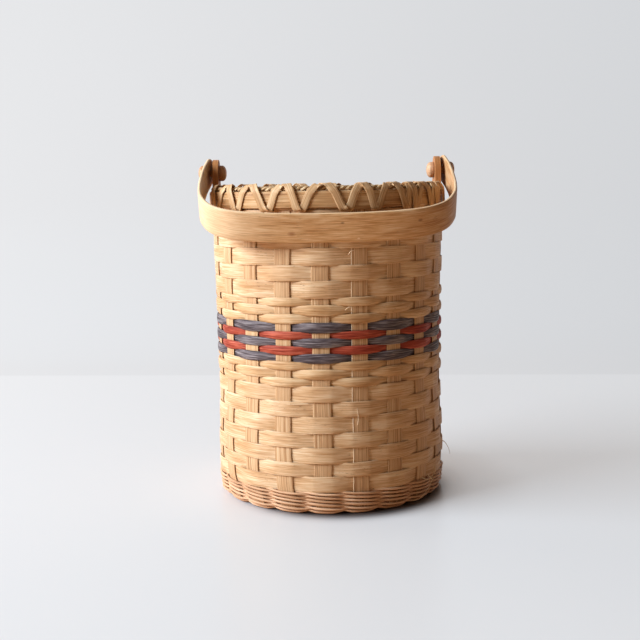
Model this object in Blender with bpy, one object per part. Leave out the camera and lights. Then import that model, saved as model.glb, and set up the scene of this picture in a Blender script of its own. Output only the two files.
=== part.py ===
"""Round splint basket with a swing handle, each real piece as one named object.

Metres, +Z up, the floor at z = 0, the basket's middle on the Z axis and its front at -Y.
Angles are counted from the front, positive towards +X.
"""
import math

import bmesh
import bpy
from mathutils import Matrix, Vector

# General clearances
GAP = 0.0003                    # between pieces that touch on the real basket
OVERRUN = 0.002                 # how far a cutter runs past what it cuts
MERGE_DISTANCE = 0.000001       # welds the poles and the seam of turned pieces

# Uprights: full-length splints that cross under the base and stand up on both sides
SPOKE_COUNT = 10
FIRST_ARM_TURN = math.radians(-3.9)
SPOKE_WIDTH = 0.0150
SPOKE_THICKNESS = 0.0008
HUB_WIDTH = 0.0080              # the splints are waisted where they cross
FOOT_BEND_RADIUS = 0.0045
FOOT_BEND_STEPS = 3

# Wall: the middle surface of the uprights
WALL_RADIUS = 0.1083            # at the rim
# Share of the height to the top of the hoops, and radius share, from above the foot to the rim
WALL_CURVE_SHARES = (
    (0.034, 0.985), (0.069, 0.999), (0.137, 1.008), (0.206, 1.004), (0.353, 0.989),
    (0.651, 0.995), (0.812, 1.009), (0.890, 1.007), (0.949, 1.001),
    (1.000, 1.000),
)

# Weavers: one ring a row, from the foot up
WEAVER_THICKNESS = 0.0009
FIRST_ROW_BOTTOM = 0.0218
WIDE_ROWS = (0.0141, 0.0123, 0.0139, 0.0134, 0.0149, 0.0133, 0.0142)
LOWER_NARROW_ROWS = (0.0072, 0.0081, 0.0067)
STRIPE_ROWS = (0.0072, 0.0067, 0.0072, 0.0062, 0.0080)
UPPER_NARROW_ROWS = (0.0073, 0.0083, 0.0066)
UPPER_WIDE_ROWS = (0.0154, 0.0138, 0.0151, 0.0160, 0.0160)
SPOKE_SIDE_ROOM = 0.0005        # a weaver runs straight this far past each upright's edge
LASH_SLIT = 0.0032              # open slit between the top row and the hoops for the lashing

# Twining of fine round rod, outside and inside the uprights, each in a base and a wall course
TWINE_THICKNESS = 0.0016
TWINE_INNER_RADIUS = 0.0520
RING_STEPS = 32

# Rim hoops
HOOP_HEIGHT = 0.0150
HOOP_THICKNESS = 0.0028
HOOP_STEPS = 72
OUTER_HOOP_EASE = 0.0004        # room for the weavers' corners inside the outer hoop

# Rope that fills the top of the rim between the ears
FILLER_RADIUS = 0.0023
FILLER_STEPS = 20
FILLER_OFFSET = 0.0013          # outwards from the middle of the wall

# Lashing of flat splint, wound both ways round the rim between the ears
LASH_WIDTH = 0.0076             # along the rim
LASH_THICKNESS = 0.0007
LASH_EASE = 0.0002              # a flat strap stands off the round hoops by this much more
LASH_EAR_TURN = math.radians(17.5)   # the first and last hole beside each ear
FILLER_TOP_HALF_WIDTH = 0.0014

# Ears
EAR_TAIL_ROOM = 0.0012          # between the flat tail and the round wall
EAR_TAIL_THICKNESS = 0.0016
EAR_HEAD_THICKNESS = 0.0058
EAR_HEAD_RADIUS = 0.0130
EAR_TAIL_LENGTH = 0.0560        # below the top of the hoops
EAR_TAIL_END_WIDTH = 0.0140
EAR_ARC_STEPS = 14

# Handle: a flat wood band bent to a deep U, lying against the front of the wall at rest
HANDLE_REST_TILT = math.radians(22.6)    # below level
HANDLE_WIDTH = 0.0280
HANDLE_THICKNESS = 0.0033
HANDLE_RIM_ROOM = 0.0036        # from its round ends down to the hoops as it swings
HANDLE_SIDE_ROOM = 0.00195      # from its sides to the outer hoop
HANDLE_FRONT_ROOM = 0.0023      # from its bow to the wall at rest
HANDLE_EAR_GAP = 0.0004
HANDLE_END_FLARE = math.radians(9.0)     # the ends lean outwards from the ears
# Sideways share of the half spread and forward share of the reach, from beside the pegs to the bow
HANDLE_CURVE_SHARES = (
    (0.988, 0.095), (0.997, 0.210), (1.000, 0.360), (0.994, 0.520), (0.968, 0.670),
    (0.888, 0.820), (0.745, 0.918), (0.545, 0.968), (0.285, 0.993), (0.000, 1.000),
)
HANDLE_CURVE_SUBSTEPS = 2
HANDLE_END_STEPS = 6

# Wooden pegs with a turned button inside
PEG_RADIUS = 0.0032
BUTTON_RADIUS = 0.0075
BUTTON_LENGTH = 0.0080
BUTTON_EDGE_LENGTH_SHARE = 0.35
PEG_BUTTON_DEPTH = 0.0050       # how deep the peg sits in the inner button
PEG_SIDES = 20
BUTTON_ARC_STEPS = 3

ARM_COUNT = 2 * SPOKE_COUNT
ARM_TURN = 2 * math.pi / ARM_COUNT
HALF_ARM_TURN = ARM_TURN / 2
QUARTER_TURN = math.pi / 2

ROWS_TOP = FIRST_ROW_BOTTOM + sum(
    WIDE_ROWS + LOWER_NARROW_ROWS + STRIPE_ROWS + UPPER_NARROW_ROWS + UPPER_WIDE_ROWS)
HOOP_BOTTOM = ROWS_TOP + LASH_SLIT
WALL_HEIGHT = HOOP_BOTTOM + HOOP_HEIGHT

ARM_LEVEL = TWINE_THICKNESS + GAP + SPOKE_THICKNESS / 2
HUB_LEVEL = SPOKE_THICKNESS / 2
HUB_STEP = SPOKE_THICKNESS + GAP
HUB_REACH = (HUB_WIDTH / 2 + GAP) / math.tan(HALF_ARM_TURN)
ARM_REACH = (SPOKE_WIDTH / 2 + GAP) / math.tan(HALF_ARM_TURN)
FOOT_RADIUS = WALL_RADIUS * WALL_CURVE_SHARES[0][1]

WEAVE_OFFSET = SPOKE_THICKNESS / 2 + GAP + WEAVER_THICKNESS / 2
TWINE_OFFSET = SPOKE_THICKNESS / 2 + GAP + TWINE_THICKNESS / 2
WALL_INSIDE = WALL_RADIUS - WEAVE_OFFSET - WEAVER_THICKNESS / 2
WALL_OUTSIDE = WALL_RADIUS + WEAVE_OFFSET + WEAVER_THICKNESS / 2
INNER_HOOP_OUTSIDE = WALL_INSIDE - GAP
INNER_HOOP_INSIDE = INNER_HOOP_OUTSIDE - HOOP_THICKNESS
OUTER_HOOP_INSIDE = WALL_OUTSIDE + GAP + OUTER_HOOP_EASE
OUTER_HOOP_OUTSIDE = OUTER_HOOP_INSIDE + HOOP_THICKNESS
FILLER_CENTRE = WALL_RADIUS + FILLER_OFFSET
FILLER_LEVEL = WALL_HEIGHT + GAP + FILLER_RADIUS
FILLER_TOP = FILLER_LEVEL + FILLER_RADIUS
EAR_INNER_X = WALL_INSIDE - EAR_TAIL_ROOM - EAR_TAIL_THICKNESS
EAR_OUTER_X = EAR_INNER_X + EAR_HEAD_THICKNESS
PIVOT_HEIGHT = WALL_HEIGHT + HANDLE_RIM_ROOM + HANDLE_WIDTH / 2
HANDLE_TIP_X = EAR_OUTER_X + HANDLE_EAR_GAP + HANDLE_THICKNESS / 2
HANDLE_PEG_X = HANDLE_TIP_X + HANDLE_WIDTH / 2 * math.tan(HANDLE_END_FLARE)
HANDLE_HALF_SPREAD = OUTER_HOOP_OUTSIDE + HANDLE_SIDE_ROOM + HANDLE_THICKNESS / 2
# From the pivot to the middle of the bow
HANDLE_REACH = ((WALL_OUTSIDE + HANDLE_FRONT_ROOM) / math.cos(HANDLE_REST_TILT)
                + HANDLE_THICKNESS / 2 + HANDLE_WIDTH / 2 * math.tan(HANDLE_REST_TILT))
PEG_HEAD_X = (HANDLE_PEG_X + BUTTON_RADIUS * math.tan(HANDLE_END_FLARE) + GAP
              + HANDLE_THICKNESS / 2 / math.cos(HANDLE_END_FLARE))

NATURAL = (0.62, 0.43, 0.25)
PALE = (0.68, 0.50, 0.31)
BLUE = (0.20, 0.24, 0.33)
RED = (0.42, 0.12, 0.08)
WOOD = (0.55, 0.34, 0.17)
ROPE = (0.50, 0.35, 0.19)


def clear_scene():
    for obj in list(bpy.data.objects):
        bpy.data.objects.remove(obj, do_unlink=True)


def finish(name, colour, roughness):
    material = bpy.data.materials.new(name)
    material.use_nodes = True
    shader = material.node_tree.nodes["Principled BSDF"]
    shader.inputs["Base Color"].default_value = (*colour, 1.0)
    shader.inputs["Roughness"].default_value = roughness
    shader.inputs["Metallic"].default_value = 0.0
    return material


def add_object(name, bm, colour, roughness=0.6, smooth=False, origin=(0.0, 0.0, 0.0)):
    """Turn a bmesh in world places into an object whose origin is at the given point."""
    bmesh.ops.translate(bm, verts=bm.verts, vec=-Vector(origin))
    mesh = bpy.data.meshes.new(name)
    bm.to_mesh(mesh)
    bm.free()
    for face in mesh.polygons:
        face.use_smooth = smooth
    obj = bpy.data.objects.new(name, mesh)
    obj.location = origin
    bpy.context.collection.objects.link(obj)
    mesh.materials.append(finish(name + " finish", colour, roughness))
    return obj


def thicken(obj, thickness):
    """Give a sheet its thickness, half on each side."""
    solid = obj.modifiers.new("Thickness", "SOLIDIFY")
    solid.thickness = thickness
    solid.offset = 0.0


def bore(obj, name, radius, start_x, end_x):
    """Cut a round hole along X, at the height of the pivot."""
    cutter_mesh = bmesh.new()
    bmesh.ops.create_cone(
        cutter_mesh, cap_ends=True, segments=PEG_SIDES, radius1=radius, radius2=radius,
        depth=abs(end_x - start_x) + 2 * OVERRUN,
        matrix=Matrix.Translation(((start_x + end_x) / 2, 0.0, PIVOT_HEIGHT))
        @ Matrix.Rotation(QUARTER_TURN, 4, "Y"))
    mesh = bpy.data.meshes.new(name)
    cutter_mesh.to_mesh(mesh)
    cutter_mesh.free()
    cutter = bpy.data.objects.new(name, mesh)
    bpy.context.collection.objects.link(cutter)
    cutter.hide_render = True
    cutter.display_type = "WIRE"
    cut = obj.modifiers.new("Peg hole", "BOOLEAN")
    cut.operation = "DIFFERENCE"
    cut.solver = "EXACT"
    cut.object = cutter


def outward(turn):
    """The level direction at an angle counted from the front."""
    return Vector((math.sin(turn), -math.cos(turn), 0.0))


def along(turn):
    """The level direction round the basket at an angle."""
    return Vector((math.cos(turn), math.sin(turn), 0.0))


def between(low, high, share):
    return low + (high - low) * share


def wall_radius(height):
    """Radius of the uprights' middle surface at a height."""
    share = height / WALL_HEIGHT
    points = WALL_CURVE_SHARES
    if share <= points[0][0]:
        return WALL_RADIUS * points[0][1]
    for (low, low_radius), (high, high_radius) in zip(points, points[1:]):
        if share <= high:
            return WALL_RADIUS * between(low_radius, high_radius, (share - low) / (high - low))
    return WALL_RADIUS * points[-1][1]


def ribbon(edge_pairs):
    """A strip through pairs of edge points, grown one step at a time."""
    bm = bmesh.new()
    left = bm.verts.new(edge_pairs[0][0])
    right = bm.verts.new(edge_pairs[0][1])
    edge = bm.edges.new((left, right))
    for next_left, next_right in edge_pairs[1:]:
        grown = bmesh.ops.extrude_edge_only(bm, edges=[edge])["geom"]
        corners = [item for item in grown if isinstance(item, bmesh.types.BMVert)]
        corners.sort(key=lambda corner: (corner.co - left.co).length)
        edge = next(item for item in grown if isinstance(item, bmesh.types.BMEdge)
                    and corners[0] in item.verts and corners[1] in item.verts)
        left, right = corners
        left.co = next_left
        right.co = next_right
    bmesh.ops.recalc_face_normals(bm, faces=bm.faces)
    return bm


def ring_band(lower_points, upper_points):
    """A closed band between a lower and an upper ring of as many points."""
    bm = bmesh.new()
    lower = [bm.verts.new(point) for point in lower_points]
    edges = [bm.edges.new((lower[i - 1], lower[i])) for i in range(len(lower))]
    order = {tuple(corner.co): i for i, corner in enumerate(lower)}
    grown = bmesh.ops.extrude_edge_only(bm, edges=edges)["geom"]
    for item in grown:
        if isinstance(item, bmesh.types.BMVert):
            item.co = upper_points[order[tuple(item.co)]]
    bmesh.ops.recalc_face_normals(bm, faces=bm.faces)
    return bm


def turned_band(profile, steps):
    """A sheet turned round Z from (radius, height) points."""
    bm = bmesh.new()
    corners = [bm.verts.new(outward(0.0) * radius + Vector((0.0, 0.0, height)))
               for radius, height in profile]
    edges = [bm.edges.new(pair) for pair in zip(corners, corners[1:])]
    bmesh.ops.spin(bm, geom=corners + edges, cent=(0.0, 0.0, 0.0), axis=(0.0, 0.0, 1.0),
                   angle=2 * math.pi, steps=steps, use_merge=True, use_duplicate=False)
    bmesh.ops.remove_doubles(bm, verts=bm.verts, dist=MERGE_DISTANCE)
    bmesh.ops.recalc_face_normals(bm, faces=bm.faces)
    return bm


def arm_side(turn, level):
    """Stations of one arm of a splint: middle point and half width, from the hub to the rim."""
    out = outward(turn)
    up = Vector((0.0, 0.0, 1.0))
    stations = [
        (out * HUB_REACH + up * level, HUB_WIDTH / 2),
        (out * ARM_REACH + up * ARM_LEVEL, SPOKE_WIDTH / 2),
    ]
    bend_centre = out * (FOOT_RADIUS - FOOT_BEND_RADIUS) + up * (ARM_LEVEL + FOOT_BEND_RADIUS)
    for step in range(FOOT_BEND_STEPS + 1):
        bend = QUARTER_TURN * step / FOOT_BEND_STEPS
        place = bend_centre + (out * math.sin(bend) - up * math.cos(bend)) * FOOT_BEND_RADIUS
        stations.append((place, SPOKE_WIDTH / 2))
    for share, radius_share in WALL_CURVE_SHARES[1:]:
        height = min(share * WALL_HEIGHT, WALL_HEIGHT - GAP)
        stations.append((out * WALL_RADIUS * radius_share + up * height, SPOKE_WIDTH / 2))
    return stations


def make_spoke(index):
    turn = FIRST_ARM_TURN + ARM_TURN * index
    level = HUB_LEVEL + HUB_STEP * index
    first = arm_side(turn, level)
    second = arm_side(turn + math.pi, level)
    side = along(turn)
    stations = list(reversed(second)) + first
    pairs = [(place - side * half, place + side * half) for place, half in stations]
    obj = add_object(f"spoke_{index + 1:02d}", ribbon(pairs), NATURAL)
    thicken(obj, SPOKE_THICKNESS)


def weave_ring(height, row):
    """Points of one row at a height: straight past each upright, outside or inside it in turn."""
    radius = wall_radius(height)
    side = SPOKE_WIDTH / 2 + SPOKE_SIDE_ROOM
    points = []
    for arm in range(ARM_COUNT):
        turn = FIRST_ARM_TURN + ARM_TURN * arm
        offset = WEAVE_OFFSET if (arm + row) % 2 == 0 else -WEAVE_OFFSET
        middle = outward(turn) * (radius + offset) + Vector((0.0, 0.0, height))
        points.append(middle - along(turn) * side)
        points.append(middle + along(turn) * side)
    return points


def make_row(name, row, bottom, top, colour):
    bm = ring_band(weave_ring(bottom + GAP / 2, row), weave_ring(top - GAP / 2, row))
    obj = add_object(name, bm, colour)
    thicken(obj, WEAVER_THICKNESS)


def make_weavers():
    """All rows from the foot up; the last one is shut between the hoops."""
    plan = [("wide_weaver", height, NATURAL) for height in WIDE_ROWS]
    plan += [("narrow_weaver", height, NATURAL) for height in LOWER_NARROW_ROWS]
    plan += [(("blue_weaver", "red_weaver")[stripe % 2], height, (BLUE, RED)[stripe % 2])
             for stripe, height in enumerate(STRIPE_ROWS)]
    plan += [("narrow_weaver", height, NATURAL) for height in UPPER_NARROW_ROWS]
    plan += [("wide_weaver", height, NATURAL) for height in UPPER_WIDE_ROWS]
    bottom = FIRST_ROW_BOTTOM
    for row, (kind, height, colour) in enumerate(plan):
        make_row(f"{kind}_{row + 1:02d}", row, bottom, bottom + height, colour)
        bottom += height
    make_row("rim_weaver", len(plan), HOOP_BOTTOM, WALL_HEIGHT, NATURAL)


def twining_profile(side):
    """Radius and height of the twining: under or over the base, round the foot, up the wall."""
    bend_radius = FOOT_BEND_RADIUS + side * TWINE_OFFSET
    bend_level = ARM_LEVEL + FOOT_BEND_RADIUS
    points = [(TWINE_INNER_RADIUS, bend_level - bend_radius)]
    for step in range(FOOT_BEND_STEPS + 1):
        bend = QUARTER_TURN * step / FOOT_BEND_STEPS
        points.append((FOOT_RADIUS - FOOT_BEND_RADIUS + bend_radius * math.sin(bend),
                       bend_level - bend_radius * math.cos(bend)))
    for height in (between(bend_level, FIRST_ROW_BOTTOM, 0.5), FIRST_ROW_BOTTOM - GAP):
        points.append((wall_radius(height) + side * TWINE_OFFSET, height))
    return points


def make_twining():
    """The outer wall course stands off a little more, where the flat uprights' edges stand proud."""
    proud = math.hypot(WALL_RADIUS, SPOKE_WIDTH / 2) - WALL_RADIUS
    sag = WALL_RADIUS * (1 - math.cos(math.pi / RING_STEPS))
    for name, side, stand_off in (("twining_outer", 1, proud + sag), ("twining_inner", -1, 0.0)):
        inner_edge, foot, *rise = twining_profile(side)
        base = [inner_edge, (foot[0] - GAP, foot[1])]
        wall = [foot] + [(radius + stand_off, height) for radius, height in rise]
        for part, profile in (("base", base), ("wall", wall)):
            obj = add_object(f"{name}_{part}", turned_band(profile, RING_STEPS), PALE)
            thicken(obj, TWINE_THICKNESS)


def round_points(radius_at, height):
    return [outward(2 * math.pi * step / HOOP_STEPS) * radius_at(2 * math.pi * step / HOOP_STEPS)
            + Vector((0.0, 0.0, height)) for step in range(HOOP_STEPS)]


def inner_hoop_radius(turn):
    """Middle radius of the inner hoop, which runs flat behind the two ears."""
    flat_x = EAR_INNER_X - GAP - HOOP_THICKNESS / 2
    round_radius = INNER_HOOP_OUTSIDE - HOOP_THICKNESS / 2
    sideways = abs(math.sin(turn))
    return min(round_radius, flat_x / sideways) if sideways > 0 else round_radius


def make_hoops():
    outer_middle = OUTER_HOOP_INSIDE + HOOP_THICKNESS / 2
    for name, radius_at in (("outer_hoop", lambda turn: outer_middle),
                            ("inner_hoop", inner_hoop_radius)):
        bm = ring_band(round_points(radius_at, HOOP_BOTTOM), round_points(radius_at, WALL_HEIGHT))
        obj = add_object(name, bm, PALE)
        thicken(obj, HOOP_THICKNESS)


def make_filler(name, first_turn, last_turn):
    """A rope laid on top of the rim from one ear to the other."""
    curve = bpy.data.curves.new(name, "CURVE")
    curve.dimensions = "3D"
    curve.bevel_depth = FILLER_RADIUS
    curve.bevel_resolution = 1
    curve.use_fill_caps = True
    spline = curve.splines.new("POLY")
    spline.points.add(FILLER_STEPS)
    for step, point in enumerate(spline.points):
        turn = between(first_turn, last_turn, step / FILLER_STEPS)
        place = outward(turn) * FILLER_CENTRE + Vector((0.0, 0.0, FILLER_LEVEL))
        point.co = (*place, 1.0)
    obj = bpy.data.objects.new(name, curve)
    bpy.context.collection.objects.link(obj)
    curve.materials.append(finish(name + " finish", ROPE, 0.8))


def lash_section(layer):
    """One loop round the rim in (radius, height, share of the turn), from the hole outwards."""
    lift = GAP + LASH_EASE + LASH_THICKNESS / 2 + layer * (LASH_THICKNESS + GAP)
    corners = [
        (OUTER_HOOP_OUTSIDE, HOOP_BOTTOM), (OUTER_HOOP_OUTSIDE, WALL_HEIGHT),
        (FILLER_CENTRE + FILLER_TOP_HALF_WIDTH, FILLER_TOP),
        (FILLER_CENTRE - FILLER_TOP_HALF_WIDTH, FILLER_TOP),
        (INNER_HOOP_INSIDE, WALL_HEIGHT), (INNER_HOOP_INSIDE, HOOP_BOTTOM),
    ]
    runs = []
    for here, there in zip(corners, corners[1:] + corners[:1]):
        length = math.dist(here, there)
        runs.append((length, (there[1] - here[1]) / length, (here[0] - there[0]) / length))
    outside_half = runs[0][0] + runs[1][0] + runs[2][0] / 2
    inside_half = runs[2][0] / 2 + runs[3][0] + runs[4][0]
    points = []
    travelled = 0.0
    for index, (radius, height) in enumerate(corners):
        before = runs[index - 1]
        after = runs[index]
        if travelled <= outside_half:
            share = 0.5 * travelled / outside_half
        else:
            share = 0.5 + 0.5 * (travelled - outside_half) / inside_half
        normals = [before[1:], after[1:]]
        if before[1] * after[1] + before[2] * after[2] < 0.5:
            middle = Vector((before[1] + after[1], before[2] + after[2])).normalized()
            normals.insert(1, tuple(middle))
        for out, up in normals:
            points.append((radius + out * lift, height + up * lift, share))
        travelled += after[0]
    return points


def lash_holes(first_turn, last_turn):
    """Holes under the hoops: beside each ear and in every space between uprights."""
    spaces = [FIRST_ARM_TURN + HALF_ARM_TURN + ARM_TURN * step
              for step in range(-ARM_COUNT, ARM_COUNT)]
    room = HALF_ARM_TURN / 2
    inner = [turn for turn in spaces if first_turn + room < turn < last_turn - room]
    return [first_turn] + inner + [last_turn]


def make_lashing(name, holes, layer):
    """One strap wound from hole to hole, up outside, over the rim and down inside."""
    section = lash_section(layer)
    middles = []
    for start, stop in zip(holes, holes[1:]):
        for radius, height, share in section:
            turn = between(start, stop, share)
            middles.append((turn, outward(turn) * radius + Vector((0.0, 0.0, height))))
    pairs = [(place - along(turn) * LASH_WIDTH / 2, place + along(turn) * LASH_WIDTH / 2)
             for turn, place in middles]
    obj = add_object(name, ribbon(pairs), PALE)
    thicken(obj, LASH_THICKNESS)
    apart = min((middles[i][1] - middles[j][1]).length
                for i in range(len(middles)) for j in range(i + len(section) // 2, len(middles)))
    print(f"{name}: least gap to itself {1000 * (apart - LASH_THICKNESS):.2f} mm")


def make_rim_dressing():
    ear_edge_turn = math.asin((EAR_HEAD_RADIUS + 2 * GAP) / (FILLER_CENTRE - FILLER_RADIUS))
    for side, middle in (("front", 0.0), ("back", math.pi)):
        reach = QUARTER_TURN - ear_edge_turn
        make_filler(f"rim_filler_{side}", middle - reach, middle + reach)
        reach = QUARTER_TURN - LASH_EAR_TURN
        holes = lash_holes(middle - reach, middle + reach)
        make_lashing(f"lashing_{side}_under", holes, 0)
        make_lashing(f"lashing_{side}_over", holes[::-1], 1)


def make_ear(name, side):
    """A tail between the inner hoop and the wall, and a thick round head that takes the peg."""
    bm = bmesh.new()
    inner_x = side * EAR_INNER_X
    shoulder = WALL_HEIGHT + GAP
    tail_bottom = WALL_HEIGHT - EAR_TAIL_LENGTH
    low = [(-EAR_TAIL_END_WIDTH / 2, tail_bottom), (EAR_TAIL_END_WIDTH / 2, tail_bottom)]
    arc = []
    for step in range(EAR_ARC_STEPS + 1):
        bend = math.pi * step / EAR_ARC_STEPS
        arc.append((EAR_HEAD_RADIUS * math.cos(bend), PIVOT_HEIGHT + EAR_HEAD_RADIUS * math.sin(bend)))
    low_corners = [bm.verts.new((inner_x, y, z)) for y, z in low]
    shoulders = [bm.verts.new((inner_x, y, shoulder)) for y in (EAR_HEAD_RADIUS, -EAR_HEAD_RADIUS)]
    arc_corners = [bm.verts.new((inner_x, y, z)) for y, z in arc]
    tail = bm.faces.new(low_corners + shoulders)
    head = bm.faces.new([shoulders[1], shoulders[0]] + arc_corners)
    grown = bmesh.ops.extrude_face_region(bm, geom=[tail, head])["geom"]
    corners = [item for item in grown if isinstance(item, bmesh.types.BMVert)]
    bmesh.ops.translate(bm, verts=corners, vec=(side * EAR_TAIL_THICKNESS, 0.0, 0.0))
    faces = [item for item in grown if isinstance(item, bmesh.types.BMFace)]
    head_face = max(faces, key=lambda face: face.calc_center_median().z)
    grown = bmesh.ops.extrude_face_region(bm, geom=[head_face])["geom"]
    bmesh.ops.delete(bm, geom=[head_face], context="FACES_ONLY")
    corners = [item for item in grown if isinstance(item, bmesh.types.BMVert)]
    rest = EAR_HEAD_THICKNESS - EAR_TAIL_THICKNESS
    bmesh.ops.translate(bm, verts=corners, vec=(side * rest, 0.0, 0.0))
    bmesh.ops.recalc_face_normals(bm, faces=bm.faces)
    obj = add_object(name, bm, WOOD, 0.55)
    bore(obj, name + "_cutter", PEG_RADIUS + GAP, side * EAR_INNER_X, side * EAR_OUTER_X)


def handle_middle():
    """Points of the handle's middle line in its own plane: sideways and forward of the pivot."""
    knots = [(HANDLE_HALF_SPREAD * across, HANDLE_REACH * forward)
             for across, forward in HANDLE_CURVE_SHARES]
    knots = [(HANDLE_PEG_X, 0.0)] + knots
    knots += [(-across, forward) for across, forward in reversed(knots[:-1])]
    knots = [Vector(knot) for knot in knots]
    ends = [2 * knots[0] - knots[1]] + knots + [2 * knots[-1] - knots[-2]]
    points = []
    for before, start, stop, after in zip(ends, ends[1:], ends[2:], ends[3:]):
        for substep in range(HANDLE_CURVE_SUBSTEPS):
            t = substep / HANDLE_CURVE_SUBSTEPS
            points.append(0.5 * (2 * start + (stop - before) * t
                                 + (2 * before - 5 * start + 4 * stop - after) * t * t
                                 + (3 * start - before - 3 * stop + after) * t ** 3))
    points.append(knots[-1])
    return points


def make_handle():
    """The band lies in a plane through the peg line, folded forward and down at rest."""
    forward = Vector((0.0, -math.cos(HANDLE_REST_TILT), -math.sin(HANDLE_REST_TILT)))
    across_band = Vector((0.0, -math.sin(HANDLE_REST_TILT), math.cos(HANDLE_REST_TILT)))
    pivot = Vector((0.0, 0.0, PIVOT_HEIGHT))
    end_radius = HANDLE_WIDTH / 2
    stations = []
    for step in range(1, HANDLE_END_STEPS + 1):
        bend = QUARTER_TURN * step / (HANDLE_END_STEPS + 0.5)
        back = end_radius * math.cos(bend)
        stations.append((Vector((HANDLE_PEG_X - back * math.tan(HANDLE_END_FLARE), -back)),
                         end_radius * math.sin(bend)))
    mirrored = [(Vector((-place.x, place.y)), half) for place, half in reversed(stations)]
    stations += [(place, end_radius) for place in handle_middle()] + mirrored
    pairs = []
    for place, half in stations:
        middle = pivot + Vector((place.x, 0.0, 0.0)) + forward * place.y
        pairs.append((middle - across_band * half, middle + across_band * half))
    bm = ribbon(pairs)
    obj = add_object("handle", bm, WOOD, 0.5, origin=pivot)
    thicken(obj, HANDLE_THICKNESS)
    for side in (-1, 1):
        bore(obj, "handle_cutter_" + ("left", "right")[side > 0], PEG_RADIUS + GAP,
             side * HANDLE_TIP_X, side * PEG_HEAD_X)


def button_curve(base_x, direction):
    """Outline of a domed button from its flat rim to its pole, as (x, radius)."""
    edge_length = BUTTON_LENGTH * BUTTON_EDGE_LENGTH_SHARE
    dome_length = BUTTON_LENGTH - edge_length
    points = [(base_x, BUTTON_RADIUS)]
    for step in range(BUTTON_ARC_STEPS + 1):
        bend = QUARTER_TURN * step / BUTTON_ARC_STEPS
        points.append((base_x + direction * (edge_length + dome_length * math.sin(bend)),
                       BUTTON_RADIUS * math.cos(bend)))
    points[-1] = (points[-1][0], 0.0)
    return points


def turned_piece(name, outline, colour):
    """A solid turned round the peg line from (x, radius) points that start and end on it."""
    bm = bmesh.new()
    corners = [bm.verts.new((x, 0.0, PIVOT_HEIGHT + radius)) for x, radius in outline]
    edges = [bm.edges.new(pair) for pair in zip(corners, corners[1:])]
    bmesh.ops.spin(bm, geom=corners + edges, cent=(0.0, 0.0, PIVOT_HEIGHT), axis=(1.0, 0.0, 0.0),
                   angle=2 * math.pi, steps=PEG_SIDES, use_merge=True, use_duplicate=False)
    bmesh.ops.remove_doubles(bm, verts=bm.verts, dist=MERGE_DISTANCE)
    bmesh.ops.recalc_face_normals(bm, faces=bm.faces)
    add_object(name, bm, colour, 0.45, smooth=True, origin=(outline[0][0], 0.0, PIVOT_HEIGHT))


def make_peg(side_name, side):
    """A peg with a button head outside the handle, and a bored button inside the ear."""
    head_x = side * PEG_HEAD_X
    inner_base_x = side * (EAR_INNER_X - GAP)
    peg_end_x = inner_base_x - side * PEG_BUTTON_DEPTH
    outline = [(peg_end_x, 0.0), (peg_end_x, PEG_RADIUS), (head_x, PEG_RADIUS)]
    turned_piece(f"peg_{side_name}", outline + button_curve(head_x, side), WOOD)
    hole_radius = PEG_RADIUS + GAP
    hole_end_x = peg_end_x - side * GAP
    outline = [(hole_end_x, 0.0), (hole_end_x, hole_radius), (inner_base_x, hole_radius)]
    turned_piece(f"peg_button_{side_name}", outline + button_curve(inner_base_x, -side), WOOD)


def main():
    clear_scene()
    for index in range(SPOKE_COUNT):
        make_spoke(index)
    make_weavers()
    make_twining()
    make_hoops()
    make_rim_dressing()
    for side_name, side in (("left", -1), ("right", 1)):
        make_ear(f"ear_{side_name}", side)
        make_peg(side_name, side)
    make_handle()


main()
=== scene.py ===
import math

import bmesh
import bpy
from mathutils import Matrix, Vector, noise


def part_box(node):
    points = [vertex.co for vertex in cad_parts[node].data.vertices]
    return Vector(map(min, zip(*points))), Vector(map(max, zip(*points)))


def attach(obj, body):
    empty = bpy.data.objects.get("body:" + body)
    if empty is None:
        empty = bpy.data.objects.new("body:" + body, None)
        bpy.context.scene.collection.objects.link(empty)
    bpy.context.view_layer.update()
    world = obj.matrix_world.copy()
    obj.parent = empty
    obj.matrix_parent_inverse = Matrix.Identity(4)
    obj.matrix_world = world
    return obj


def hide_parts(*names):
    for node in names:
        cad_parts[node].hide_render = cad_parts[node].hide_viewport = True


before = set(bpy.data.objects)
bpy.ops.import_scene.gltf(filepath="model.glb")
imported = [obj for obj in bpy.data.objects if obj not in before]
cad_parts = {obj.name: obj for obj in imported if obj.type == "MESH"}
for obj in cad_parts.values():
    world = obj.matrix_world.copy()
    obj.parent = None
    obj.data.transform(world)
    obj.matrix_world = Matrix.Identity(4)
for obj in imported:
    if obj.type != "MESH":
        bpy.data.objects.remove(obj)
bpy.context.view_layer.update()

MM = 0.001
WELD = 0.0005 * MM
TAU = 2 * math.pi
QUARTER = math.pi / 2
UP = Vector((0.0, 0.0, 1.0))

# Uprights and wall, as the CAD has them
ARM_COUNT = 20
ARM_TURN = TAU / ARM_COUNT
FIRST_ARM = math.radians(-3.9)
SPOKE_WIDTH = 15.0 * MM
SPOKE_THICKNESS = 0.8 * MM
HUB_WIDTH = 8.0 * MM
HUB_LEVEL = 0.4 * MM
HUB_STEP = 1.1 * MM
HUB_REACH = 27.15 * MM
ARM_REACH = 49.25 * MM
ARM_LEVEL = 2.95 * MM  # over the rods of the base, which lie on the floor
FOOT_RADIUS = 106.675 * MM
FOOT_BEND = 4.5 * MM
FOOT_TOP = ARM_LEVEL + FOOT_BEND
WALL_RADIUS = 108.3 * MM
WALL_HEIGHT = 291.9 * MM
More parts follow.
